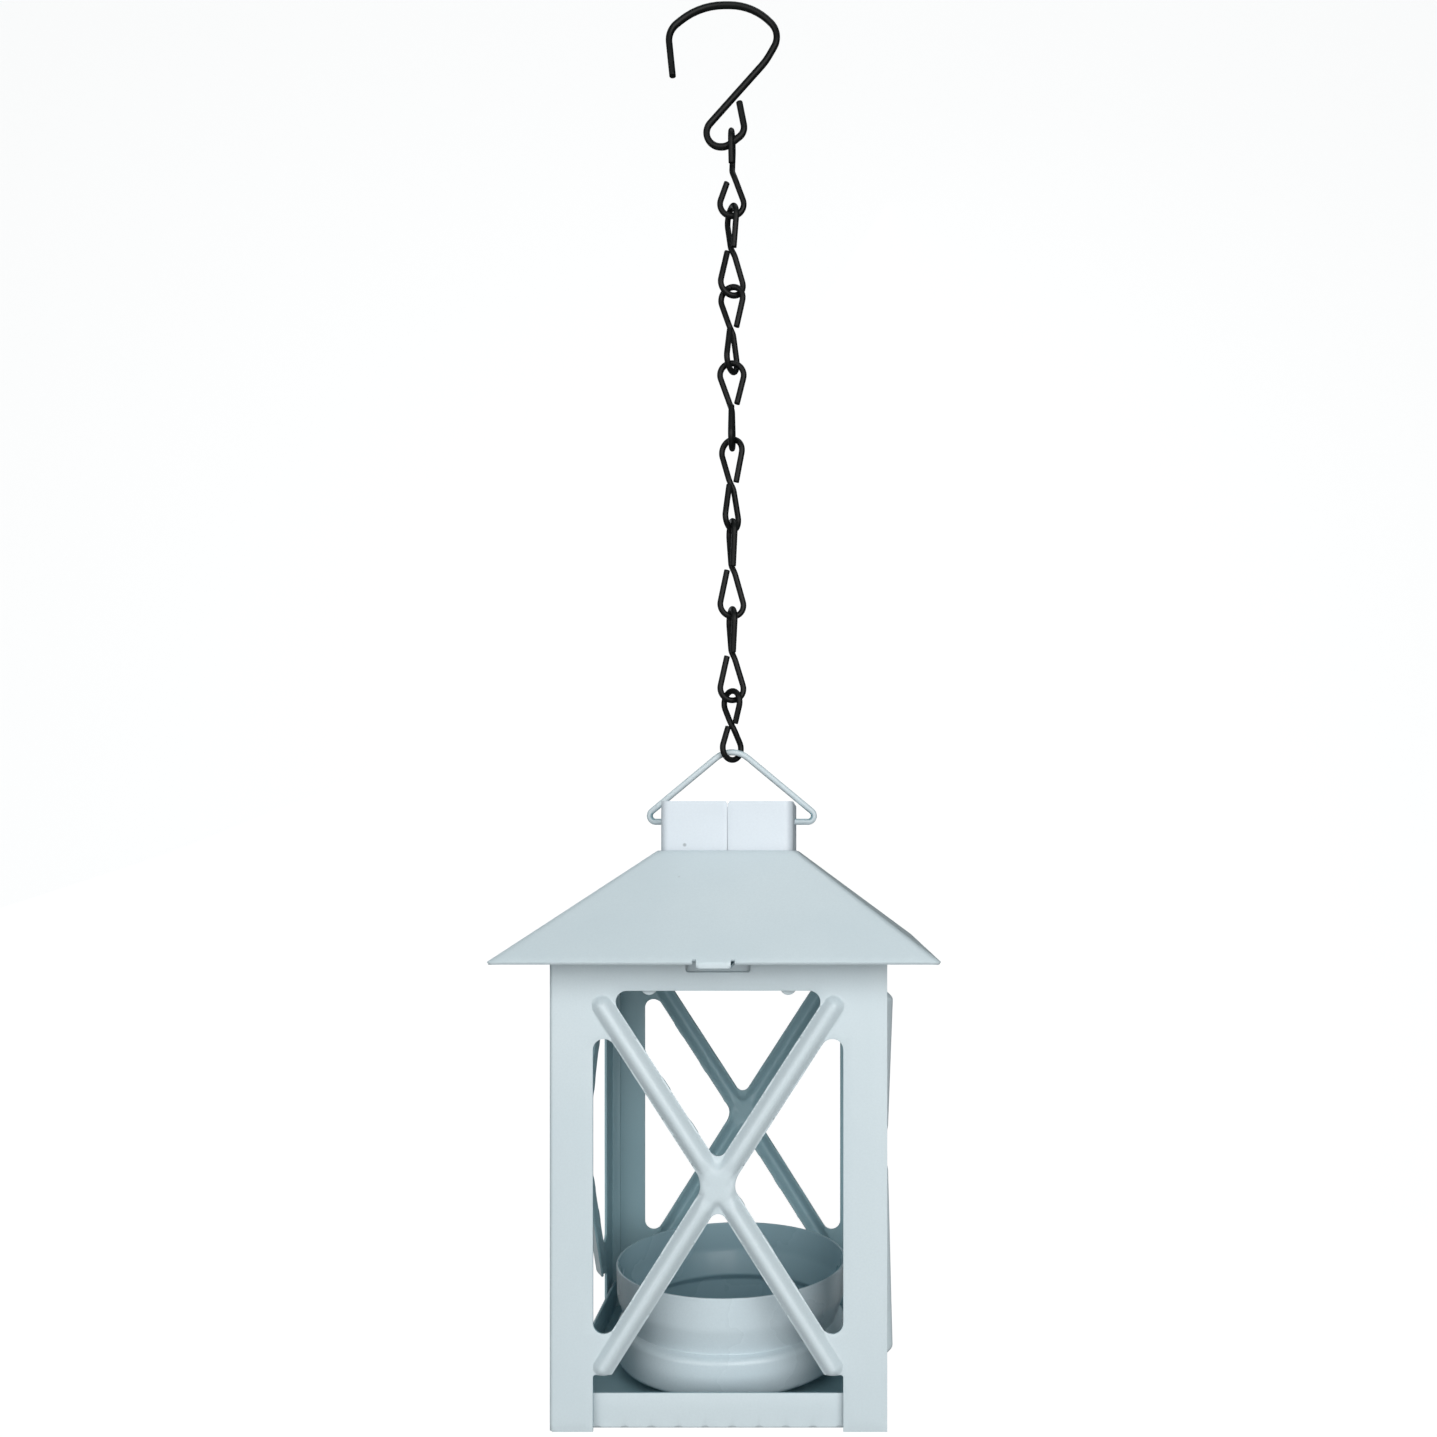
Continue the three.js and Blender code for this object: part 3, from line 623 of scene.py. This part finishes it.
def wall_plan(along):
    """Plan point and outward direction at a distance along the pressing's outer face."""
    bend = BODY_HALF - BODY_BEND
    if along <= FRONT_LENGTH:
        return (BODY_HALF - along, -BODY_HALF), (0, -1)
    if along < SIDE_START:
        angle = (along - FRONT_LENGTH) / BODY_BEND
        out = (-math.sin(angle), -math.cos(angle))
        return (-bend + BODY_BEND * out[0], -bend + BODY_BEND * out[1]), out
    if along <= SIDE_START + SIDE_LENGTH:
        return (-BODY_HALF, -bend + along - SIDE_START), (-1, 0)
    rear = LAP_WALL - BODY_BEND
    if along < LAP_START:
        angle = (along - SIDE_START - SIDE_LENGTH) / BODY_BEND
        out = (-math.cos(angle), math.sin(angle))
        return (-bend + BODY_BEND * out[0], rear + BODY_BEND * out[1]), out
    return (-bend + along - LAP_START, LAP_WALL), (0, 1)


def wall_coordinate(along):
    """Distance across the wall from its middle, or None on a bend or the lap."""
    if along <= FRONT_LENGTH:
        return BODY_HALF - along
    if SIDE_START <= along <= SIDE_START + SIDE_LENGTH:
        return SIDE_MIDDLE - along
    return None


def wall_bow(across, up):
    """The thin wall is never quite flat: a shallow wave of a few hundredths of a millimetre."""
    edge = 1 - min(1.0, abs(across) / BODY_HALF) ** 4
    return WALL_WAVE * edge * math.sin(across * 0.11 + 0.6) * math.sin(up * 0.07 + 0.4)


def pressing_pattern():
    """The pressing's flat pattern: points as (along, up) and triangles."""
    middles = (BODY_HALF, SIDE_MIDDLE)
    edge = []
    foot = foot_outline()
    for middle in middles:
        edge += [(middle - across, up) for across, up in reversed(foot)]
    edge = [(0, 0)] + edge + [(SHEET_LENGTH, 0), (SHEET_LENGTH, wall_top), (0, wall_top)]
    holes = []
    for middle in middles:
        for outline in [*window_outlines(), slot_outline()]:
            holes.append([(middle - across, up) for across, up in outline])
    wanted = []
    relief = relief_points()
    for middle in middles:
        wanted += [(middle - across, up) for across, up in relief]
        wanted += [(middle - x, y)
                   for x, y in coarse_points((-BODY_HALF + 1, 0), (BODY_HALF - 1, wall_top), 2.4)
                   if all(arm_distance(x, y, end)[0] > 2.6 for end in ARMS)]
    for start in (FRONT_LENGTH, SIDE_START + SIDE_LENGTH):
        for step in range(7):
            wanted += [(start + BEND_LENGTH * step / 6, wall_top * row / 60) for row in range(1, 60)]
    outlines = [edge, *holes]
    boxes = [(min(x for x, _ in o), max(x for x, _ in o), min(y for _, y in o), max(y for _, y in o))
             for o in outlines]

    def inside(along, up):
        if not contains(edge, along, up):
            return False
        for hole, (x0, x1, y0, y1) in zip(holes, boxes[1:]):
            if x0 < along < x1 and y0 < up < y1 and contains(hole, along, up):
                return False
        return True

    def clear(along, up):
        for outline, (x0, x1, y0, y1) in zip(outlines, boxes):
            near = x0 - 0.4 < along < x1 + 0.4 and y0 - 0.4 < up < y1 + 0.4
            if near and distance_to(outline, along, up) < 0.2:
                return False
        return inside(along, up)

    inner = [point for point in wanted if clear(*point)]
    return triangulated(outlines, inner, inside, 0.9)


def body_pressing(name, turn, pattern):
    flat, faces = pattern
    points = []
    for along, up in flat:
        (x, y), (out_x, out_y) = wall_plan(along)
        across = wall_coordinate(along)
        lift = 0 if across is None else wall_relief(across, up) + min(0, wall_bow(across, up))
        x, y = x + out_x * lift, y + out_y * lift
        if turn:
            x, y = -x, -y
        points.append((x, y, up))
    piece = make_object(name, points, faces, house_paint_and_inside_shade)
    thicken(piece, faces_out)
    return piece


# ---- Pieces of four equal sides ----

def four_sided(name, outline, inner, place, outward_check):
    """A painted sheet of four equal sides: the front's flat pattern, put in place and turned four times."""
    def inside(u, v):
        return contains(outline, u, v)

    wanted = [p for p in inner if inside(*p) and distance_to(outline, *p) > 0.18]
    flat, faces = triangulated([outline], wanted, inside, 1.2)
    front = [place(u, v) for u, v in flat]
    points, polygons = [], []
    for quarter in range(4):
        turn = Matrix.Rotation(quarter * math.pi / 2, 3, "Z")
        first = len(points)
        points += [tuple(turn @ Vector(point)) for point in front]
        polygons += [[first + index for index in face] for face in faces]
    piece = make_object(name, points, polygons, house_paint_and_inside_shade)
    merge_mesh(piece)
    thicken(piece, outward_check)
    return piece


def bent_section(corners, step_angle):
    """A folded section in the YZ plane as a function from distance along it to a point."""
    path = rounded_path([(Vector((0, y, z)), radius) for y, z, radius in corners], step_angle)
    lengths = [0.0]
    for before, after in zip(path, path[1:]):
        lengths.append(lengths[-1] + (after - before).length)

    def at(distance):
        distance = max(0.0, min(lengths[-1], distance))
        for index in range(1, len(lengths)):
            if distance <= lengths[index] or index == len(lengths) - 1:
                share = (distance - lengths[index - 1]) / (lengths[index] - lengths[index - 1])
                return path[index - 1].lerp(path[index], share)

    return at, lengths


def roof_piece():
    slant = (EAVE_HALF - ROOF_TOP_HALF) / math.cos(PITCH)
    tab_bottom = EAVE_HEIGHT - TAB_DROP
    tab_at, tab_lengths = bent_section([
        (-ROOF_TOP_HALF, roof_top, 0),
        (-EAVE_HALF, EAVE_HEIGHT, 0.3),
        (-EAVE_HALF, tab_bottom, 0.18),
        (-TAB_END, tab_bottom, 0.55),
        (-TAB_END, tab_bottom + TAB_TURN, 0),
    ], math.radians(20))
    end = tab_lengths[-1]
    full = ROOF_TOP_HALF

    def half_at(v):
        return full + min(v, slant) * math.cos(PITCH)

    outer = TAB_HALF + TAB_RELIEF
    outline = [(-full, 0), (full, 0), (EAVE_HALF, slant), (outer, slant), (outer, slant - TAB_RELIEF_DEPTH),
               (TAB_HALF, slant - TAB_RELIEF_DEPTH), (TAB_HALF, end), (-TAB_HALF, end),
               (-TAB_HALF, slant - TAB_RELIEF_DEPTH), (-outer, slant - TAB_RELIEF_DEPTH), (-outer, slant),
               (-EAVE_HALF, slant)]
    inner = []
    rows = 30
    for row in range(1, rows):
        v = slant * row / rows
        half = half_at(v)
        columns = 26
        inner += [(half * (2 * column / columns - 1), v) for column in range(1, columns)]
        for step in range(1, 6):
            offset = ROOF_HIP * (1.6 - 0.3 * step)
            inner += [(half - offset, v), (-half + offset, v)]
    for length in tab_lengths:
        if slant - 0.8 < length < end:
            inner += [(TAB_HALF * (step / 4 - 1), length) for step in range(1, 8)]

    def place(u, v):
        if abs(u) <= outer and v > slant - TAB_RELIEF_DEPTH * 0.6:
            point = tab_at(v)
            return (u, point.y, point.z)
        half = half_at(v)
        z = roof_height(half)
        across = abs(u)
        share = max(0.0, across - (half - ROOF_HIP)) / ROOF_HIP
        if share > 0:
            angle = share * math.pi / 4
            x = half - ROOF_HIP + ROOF_HIP * math.sin(angle)
            y = half - ROOF_HIP + ROOF_HIP * math.cos(angle)
            return (math.copysign(x, u), -y, z)
        sag = ROOF_SAG * math.sin(math.pi * v / slant) * (1 - (across / half) ** 2)
        return (u, -half, z - sag)

    return four_sided("roof_sheet", outline, inner, place, faces_up)


def collar_piece():
    """A square tube of one strip whose ends meet in a butt seam at the front."""
    corners = []
    half = COLLAR_HALF
    for x, y in ((half, -half), (half, half), (-half, half), (-half, -half)):
        corners.append((Vector((x, y, 0)), COLLAR_CORNER))
    path = rounded_path([(Vector((COLLAR_SEAM_SHIFT + COLLAR_SEAM_HALF, -half, 0)), 0), *corners,
                         (Vector((COLLAR_SEAM_SHIFT - COLLAR_SEAM_HALF, -half, 0)), 0)], math.radians(9))
    lengths = [0.0]
    for before, after in zip(path, path[1:]):
        lengths.append(lengths[-1] + (after - before).length)
    total = lengths[-1]

    def plan(along):
        for index in range(1, len(lengths)):
            if along <= lengths[index] + 1e-9 or index == len(lengths) - 1:
                share = (along - lengths[index - 1]) / (lengths[index] - lengths[index - 1])
                return path[index - 1].lerp(path[index], share)

    bottom = collar_foot - SLANTED_SHEET
    quarter = total / 4
    holes = []
    for middle in (quarter, 3 * quarter):
        holes.append([(middle + BAIL_HOLE_RADIUS * math.cos(math.tau * i / 24),
                       bail_axis + BAIL_HOLE_RADIUS * math.sin(math.tau * i / 24)) for i in range(24)])
    outline = [(0, bottom), (total, bottom), (total, collar_top - 0.5), (total - 0.35, collar_top),
               (0.35, collar_top), (0, collar_top - 0.5)]
    inner = []
    rows = 14
    for length in [*lengths, *[total * i / 90 for i in range(91)]]:
        inner += [(length, bottom + (collar_top - bottom) * row / rows) for row in range(1, rows)]

    def inside(u, v):
        return contains(outline, u, v) and not any(contains(hole, u, v) for hole in holes)

    wanted, seen = [], set()
    for u, v in inner:
        key = (round(u / 0.15), round(v / 0.15))
        if key in seen or not inside(u, v) or distance_to(outline, u, v) < 0.12:
            continue
        if all(distance_to(hole, u, v) > 0.2 for hole in holes):
            seen.add(key)
            wanted.append((u, v))
    flat, faces = triangulated([outline, *holes], wanted, inside, 0.8)
    points = []
    for u, v in flat:
        place = plan(u)
        near = min(u, total - u)
        lip = 0.05 * (1 - smooth_step(0, 0.4, near))
        wave = 0.05 * math.sin(v * 0.9 + u * 0.3) * (1 - smooth_step(0, 6, near))
        points.append((place.x, place.y + lip + max(0, wave), v))
    piece = make_object("collar_sheet", points, faces, collar_paint)
    thicken(piece, faces_out)
    return piece


def top_frame_piece():
    lip_half = FRAME_HALF - 2.5
    deck_top = DECK_BOTTOM + SHEET
    at, lengths = bent_section([
        (-FRAME_VENT_HALF, deck_top, 0),
        (-FRAME_HALF, deck_top, 0.8),
        (-FRAME_HALF, FRAME_EAR_END, 0),
    ], math.radians(15))
    end = lengths[-1]
    lip_end = end - (FRAME_LIP_END - FRAME_EAR_END)
    fold = FRAME_HALF - FRAME_VENT_HALF - 0.35
    seam = (FRAME_VENT_HALF + fold - 0.4, fold - 0.4)
    outline = [(-FRAME_VENT_HALF, 0), (FRAME_VENT_HALF, 0), seam, (FRAME_HALF - 0.5, fold),
               (lip_half, fold + 0.2), (lip_half, lip_end)]
    for middle in reversed(FRAME_EARS):
        steps = 8
        outline.append((middle + FRAME_EAR_HALF, lip_end))
        for step in range(steps + 1):
            angle = math.pi * step / steps
            outline.append((middle + FRAME_EAR_HALF * math.cos(angle),
                            end - FRAME_EAR_HALF + FRAME_EAR_HALF * math.sin(angle)))
        outline.append((middle - FRAME_EAR_HALF, lip_end))
    outline += [(-lip_half, lip_end), (-lip_half, fold + 0.2), (-FRAME_HALF + 0.5, fold),
                (-seam[0], seam[1])]
    inner = []
    for row in range(1, 12):
        inner += [(u * 2.0, end * row / 12) for u in range(-14, 15)]
    for length in lengths[1:-1]:
        inner += [(u * 1.5, length) for u in range(-19, 20)]

    def place(u, v):
        point = at(v)
        limit = -point.y
        return (max(-limit, min(limit, u)), point.y, point.z)

    return four_sided("top_frame_sheet", outline, inner, place, faces_up)


def tray_piece():
    lip_half = TRAY_HALF - 1.2
    at, lengths = bent_section([
        (-RIVET_HOLE, TRAY_BOTTOM, 0),
        (-TRAY_HALF, TRAY_BOTTOM, 0.45),
        (-TRAY_HALF, TRAY_LIP, 0),
    ], math.radians(12))
    end = lengths[-1]
    fold = TRAY_HALF - RIVET_HOLE - 0.35
    outline = [(RIVET_HOLE * math.sin(angle), -RIVET_HOLE * (1 - math.cos(angle)))
               for angle in [math.pi / 4 * (step / 6 - 1) for step in range(13)]]
    seam = (fold + RIVET_HOLE - 0.4, fold - 0.4)
    outline += [seam, (fold + RIVET_HOLE - 0.1, fold), (lip_half, fold + 0.15), (lip_half, end),
                (-lip_half, end), (-lip_half, fold + 0.15), (-(fold + RIVET_HOLE - 0.1), fold),
                (-seam[0], seam[1])]
    inner = []
    for row in range(1, 12):
        inner += [(u * 2.4, end * row / 12) for u in range(-12, 13)]
    for length in lengths[1:-1]:
        inner += [(u * 1.6, length) for u in range(-18, 19)]
    for reach in (2.4, 3.6, 4.8, 5.9, 6.1, 6.3, 6.5, 6.7, 6.9, 7.1, 7.5, 8.4):
        inner += [(reach * math.sin(step * math.pi / 48), reach * math.cos(step * math.pi / 48) - RIVET_HOLE)
                  for step in range(-11, 12)]

    def place(u, v):
        if v < 0:
            return (u, -RIVET_HOLE - v, TRAY_BOTTOM + DIMPLE_RISE)
        point = at(v)
        reach = math.hypot(u, point.y)
        rise = DIMPLE_RISE * (1 - smooth_step(DIMPLE_RADIUS - 1.1, DIMPLE_RADIUS + 0.1, reach))
        return (u, point.y, point.z + rise)

    return four_sided("tray_sheet", outline, inner, place, faces_down)


# ---- Turned pieces ----

def turned(name, profile, sides, material):
    """A closed solid of revolution from a profile of (radius, height)."""
    points, faces = [], []
    rings = []
    for radius, height in profile:
        if radius < 1e-6:
            rings.append([len(points)] * sides)
            points.append((0, 0, height))
            continue
        rings.append(list(range(len(points), len(points) + sides)))
        points += [(radius * math.cos(math.tau * i / sides), radius * math.sin(math.tau * i / sides), height)
                   for i in range(sides)]
    closed = profile[0][0] > 1e-6
    pairs = list(zip(rings, rings[1:])) + ([(rings[-1], rings[0])] if closed else [])
    for low, high in pairs:
        for i in range(sides):
            j = (i + 1) % sides
            face = list(dict.fromkeys([low[i], low[j], high[j], high[i]]))
            if len(face) > 2:
                faces.append(face)
    piece = make_object(name, points, faces, material)
    merge_mesh(piece, 0.0001)
    return piece


def cup_piece():
    base = DIMPLE_TOP + 0.05
    seat = base + 1.2
    wall = SHEET
    corners = [
        (1.56, base, 0), (6.0, base, 0.7), (7.2, seat, 0.7), (CUP_BASE, seat, 1.0),
        (CUP_BASE, 9.3, 1.3), (CUP_NECK - 0.1, 10.0, 0.12), (CUP_RADIUS - 0.15, 15.0, 5.0),
        (CUP_RADIUS, CUP_RIM, 0.24), (CUP_RADIUS - wall, CUP_RIM, 0.24),
        (CUP_RADIUS - 0.15 - wall, 15.2, 4.6), (CUP_NECK - wall, 10.1, 0.6),
        (CUP_BASE - wall, 8.7, 0.9), (CUP_BASE - wall, seat + wall, 0.6),
        (7.0, seat + wall, 0.6), (5.8, base + wall, 0.6), (1.56, base + wall, 0),
    ]
    path = rounded_path([(Vector((radius, height, 0)), bend) for radius, height, bend in corners],
                        math.radians(11))
    return turned("cup_shell", [(point.x, point.y) for point in path], 160, cup_paint)


def rivet_piece():
    seat = DIMPLE_TOP + SHEET + 0.1
    tail = DIMPLE_TOP - SHEET - 0.05
    head = [(3.0 * math.cos(angle), seat + 0.12 + 0.78 * math.sin(angle))
            for angle in [math.pi / 2 * step / 10 for step in range(11)]]
    profile = [(0, tail - 0.3), (2.7, tail - 0.3), (2.9, tail - 0.22), (3.0, tail - 0.1), (2.95, tail),
               (1.5, tail), (1.5, seat), (2.92, seat), *head[:-1], (0, head[-1][1])]
    return turned("rivet_turned", profile, 48, house_paint_and_inside_shade)


# ---- Wires ----

def swept_wire(name, corners, diameter, material, step_angle=math.radians(9)):
    """A round wire along a bent path, with softly rounded ends."""
    path = rounded_path(corners, step_angle)
    stations = [path[0]]
    for point in path[1:]:
        gap = (point - stations[-1]).length
        if gap < 1e-5:
            continue
        start = stations[-1].copy()
        parts = max(1, math.ceil(gap / WIRE_STATION_GAP))
        stations += [start.lerp(point, part / parts) for part in range(1, parts + 1)]
    radius = diameter / 2
    tangents = []
    for index in range(len(stations)):
        before, after = stations[max(index - 1, 0)], stations[min(index + 1, len(stations) - 1)]
        tangents.append((after - before).normalized())
    side = tangents[0].orthogonal().normalized()
    rings = []
    dome = radius * WIRE_END_DOME

    def ring(centre, tangent, across, scale):
        other = tangent.cross(across)
        angles = [math.tau * i / WIRE_SIDES for i in range(WIRE_SIDES)]
        return [centre + (across * math.cos(angle) + other * math.sin(angle)) * radius * scale
                for angle in angles]

    for index, (centre, tangent) in enumerate(zip(stations, tangents)):
        side = (side - tangent * side.dot(tangent)).normalized()
        if index == 0:
            for step in (1, 2, 3, 4):
                angle = math.pi / 2 * step / 5
                rings.append(ring(centre + tangent * dome * (1 - math.sin(angle)), tangent, side,
                                  1 - WIRE_END_DOME * (1 - math.cos(math.pi / 2 - angle))))
        rings.append(ring(centre + tangent * (dome if index == 0 else 0)
                          - tangent * (dome if index == len(stations) - 1 else 0), tangent, side, 1.0))
        if index == len(stations) - 1:
            for step in (4, 3, 2, 1):
                angle = math.pi / 2 * step / 5
                rings.append(ring(centre - tangent * dome * (1 - math.sin(angle)), tangent, side,
                                  1 - WIRE_END_DOME * (1 - math.cos(math.pi / 2 - angle))))
    points = [tuple(point) for one in rings for point in one]
    faces = []
    for index in range(len(rings) - 1):
        for i in range(WIRE_SIDES):
            j = (i + 1) % WIRE_SIDES
            low, high = index * WIRE_SIDES, (index + 1) * WIRE_SIDES
            faces.append([low + i, low + j, high + j, high + i])
    faces.append(list(range(WIRE_SIDES))[::-1])
    faces.append([(len(rings) - 1) * WIRE_SIDES + i for i in range(WIRE_SIDES)])
    piece = make_object(name, points, faces, material)
    merge_mesh(piece, 0.0001)
    return piece


def loop_corner(start, rise, reach):
    centre = reach - LINK_END_BEND - rise
    lean = math.asin(LINK_END_BEND / math.hypot(start, centre)) - math.atan2(start, centre)
    return start + (reach - rise) * math.tan(lean)


def link_piece(index):
    number = index + 1
    low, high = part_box(f"chain_link_{number}")
    waist = (low.z + high.z) / 2 / MM - FEET
    degrees, reach = LINKS[index]
    turn = Matrix.Rotation(math.radians(degrees), 3, "Z")
    open_rise = FIRST_LINK_OPEN_RISE if index == 0 else LINK_OPEN_RISE
    open_side = loop_corner(LINK_OPEN_END, open_rise, reach)
    waist_side = loop_corner(LINK_WAIST_SHIFT, LINK_WAIST_RISE, reach)
    shift, rise = LINK_WAIST_SHIFT, LINK_WAIST_RISE
    corners = [
        ((0, -LINK_OPEN_END, open_rise), 0), ((0, -open_side, reach), LINK_END_BEND),
        ((0, waist_side, reach), LINK_END_BEND), ((0, shift, rise), LINK_WAIST_BEND),
        ((shift, 0, -rise), LINK_WAIST_BEND), ((waist_side, 0, -reach), LINK_END_BEND),
        ((-open_side, 0, -reach), LINK_END_BEND), ((-LINK_OPEN_END, 0, -open_rise), 0),
    ]
    placed = [(turn @ Vector(point) + Vector((0, 0, waist)), bend) for point, bend in corners]
    return swept_wire(f"link_wire_{number}", placed, LINK_WIRE, enamel)


def hook_piece():
    lift = HOOK_WIRE / 2 - FEET
    corners = [
        (-12, -14.4, 0), (-12.95, -5.2, 4.2), (-6.5, 0, 14), (4.5, 0, 11.5), (10.04, -5.85, 4),
        (6.9, -11.3, 12), (-8.65, -28.69, 2.85), (-1.1, -28.69, 2.85), (2.71, -25.72, 2.5),
        (1.5, -19.65, 0),
    ]
    placed = [(Vector((x, 0, z + lift)), bend) for x, z, bend in corners]
    return swept_wire("hook_wire", placed, HOOK_WIRE, enamel, step_angle=math.radians(6))


def bail_piece():
    reach = COLLAR_HALF + BAIL_STANDOFF
    foot_rise = 1.5 * BAIL_END_BEND
    stub_end = COLLAR_HALF - SHEET - BAIL_STUB
    side = [
        (Vector((-stub_end, 0, bail_axis)), 0), (Vector((-reach, 0, bail_axis)), BAIL_END_BEND),
        (Vector((-reach, 0, bail_axis + foot_rise)), BAIL_END_BEND),
    ]
    other = [(Vector((-point.x, 0, point.z)), bend) for point, bend in reversed(side)]
    corners = [*side, (Vector((0, 0, bail_axis + BAIL_RISE)), BAIL_APEX_BEND), *other]
    return swept_wire("bail_wire", corners, BAIL_WIRE, house_paint_and_inside_shade)


# ---- Stage, light and camera ----

def stage_material(name, colour, seen, spilled):
    """A pale surface that camera rays see glowing (seen), and every other ray less so (spilled)."""
    material, tree, shader, coordinates = start_material(name)
    faint = noise(tree, coordinates, 3, 2.0).outputs["Fac"]
    shade = tuple(channel * 0.985 for channel in colour)
    tree.links.new(mix_colour(tree, faint, colour, shade), shader.inputs["Base Color"])
    shader.inputs["Roughness"].default_value = 0.9
    shader.inputs["Emission Color"].default_value = (1, 1, 1, 1)
    path = node(tree, "ShaderNodeLightPath")
    tree.links.new(remap(tree, path.outputs["Is Camera Ray"], 0, 1, spilled, seen),
                   shader.inputs["Emission Strength"])
    return material


def make_stage():
    """A pale sweep: floor below the hanging lantern that curves up into a backdrop."""
    floor_height = -90.0
    width, front, back, rise, bend = 3200.0, -2600.0, 900.0, 2400.0, 500.0
    profile = [(front, floor_height), (back - bend, floor_height)]
    for step in range(1, 13):
        angle = math.pi / 2 * step / 12
        profile.append((back - bend + bend * math.sin(angle), floor_height + bend * (1 - math.cos(angle))))
    profile.append((back, rise))
    points, faces = [], []
    for y, z in profile:
        points += [(-width, y, z), (width, y, z)]
    for index in range(len(profile) - 1):
        first = 2 * index
        faces.append([first, first + 1, first + 3, first + 2])
    sweep = make_object("sweep", points, faces, stage_material("pale_floor", STAGE_GREY, 0.9, 0.0))


def area_light(name, place, target, size, power, colour=WHITE):
    data = bpy.data.lights.new(name, "AREA")
    data.shape = "RECTANGLE"
    data.size, data.size_y = size[0] * MM, size[1] * MM
    data.energy = power
    data.color = colour
    lamp = bpy.data.objects.new(name, data)
    lamp.location = Vector((place[0], place[1], place[2] + FEET)) * MM
    aim = (Vector((target[0], target[1], target[2] + FEET)) * MM - lamp.location).normalized()
    lamp.rotation_euler = aim.to_track_quat("-Z", "Y").to_euler()
    bpy.context.scene.collection.objects.link(lamp)


def make_light():
    area_light("key", (250, -580, 250), (0, 0, 50), (560, 560), 3.7, (1, 0.975, 0.965))
    area_light("fill", (-520, -820, 260), (0, 0, 50), (900, 900), 5.0, (1, 0.98, 0.97))
    area_light("top", (60, 60, 900), (0, 0, 90), (500, 500), 1.2)
    area_light("back", (-380, 820, 300), (0, 0, 50), (900, 900), 2.2, (0.93, 0.98, 1))
    bpy.context.scene.world = studio_world()


def studio_world():
    """A surround that the camera sees white, but that fills the shadows with a faint blue-green."""
    world = bpy.data.worlds.new("studio")
    world.use_nodes = True
    tree = world.node_tree
    background = tree.nodes["Background"]
    seen = node(tree, "ShaderNodeLightPath").outputs["Is Camera Ray"]
    tree.links.new(mix_colour(tree, seen, SKY, WHITE), background.inputs["Color"])
    tree.links.new(remap(tree, seen, 0, 1, 0.07, 0.95), background.inputs["Strength"])
    return world


def make_camera():
    """Level camera straight at the front wall, off to the right of the lantern and aimed by shift."""
    data = bpy.data.cameras.new("camera")
    data.sensor_width = 36
    data.lens = 29.69
    data.shift_x = -0.0769
    data.shift_y = 0.0971
    data.clip_start = 0.01
    data.clip_end = 20
    camera = bpy.data.objects.new("camera", data)
    camera.location = (19.67 * MM, -240.04 * MM, (101.74 + FEET) * MM)
    camera.rotation_euler = (math.pi / 2, 0, 0)
    bpy.context.scene.collection.objects.link(camera)
    bpy.context.scene.camera = camera


# ---- Assembly ----

def put(piece, body, slot, *cad_nodes):
    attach(piece, body)
    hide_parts(*cad_nodes)


make_camera()
make_stage()
make_light()
bpy.context.scene.view_settings.view_transform = "Standard"

pattern = pressing_pattern()
put(body_pressing("pressing_front_left", False, pattern), "house", "pale_paint", "body_front_left")
put(body_pressing("pressing_back_right", True, pattern), "house", "pale_paint", "body_back_right")
put(roof_piece(), "house", "pale_paint", "roof")
put(collar_piece(), "house", "pale_paint", "collar")
put(top_frame_piece(), "house", "pale_paint", "top_frame")
put(tray_piece(), "base", "pale_paint", "base_tray")
put(cup_piece(), "base", "cup_paint", "candle_cup")
put(rivet_piece(), "base", "pale_paint", "cup_rivet")
put(bail_piece(), "bail", "pale_paint", "bail")
put(hook_piece(), "s_hook", "black_enamel", "s_hook")
for index in range(len(LINKS)):
    put(link_piece(index), f"chain_link_{index + 1}", "black_enamel", f"chain_link_{index + 1}")
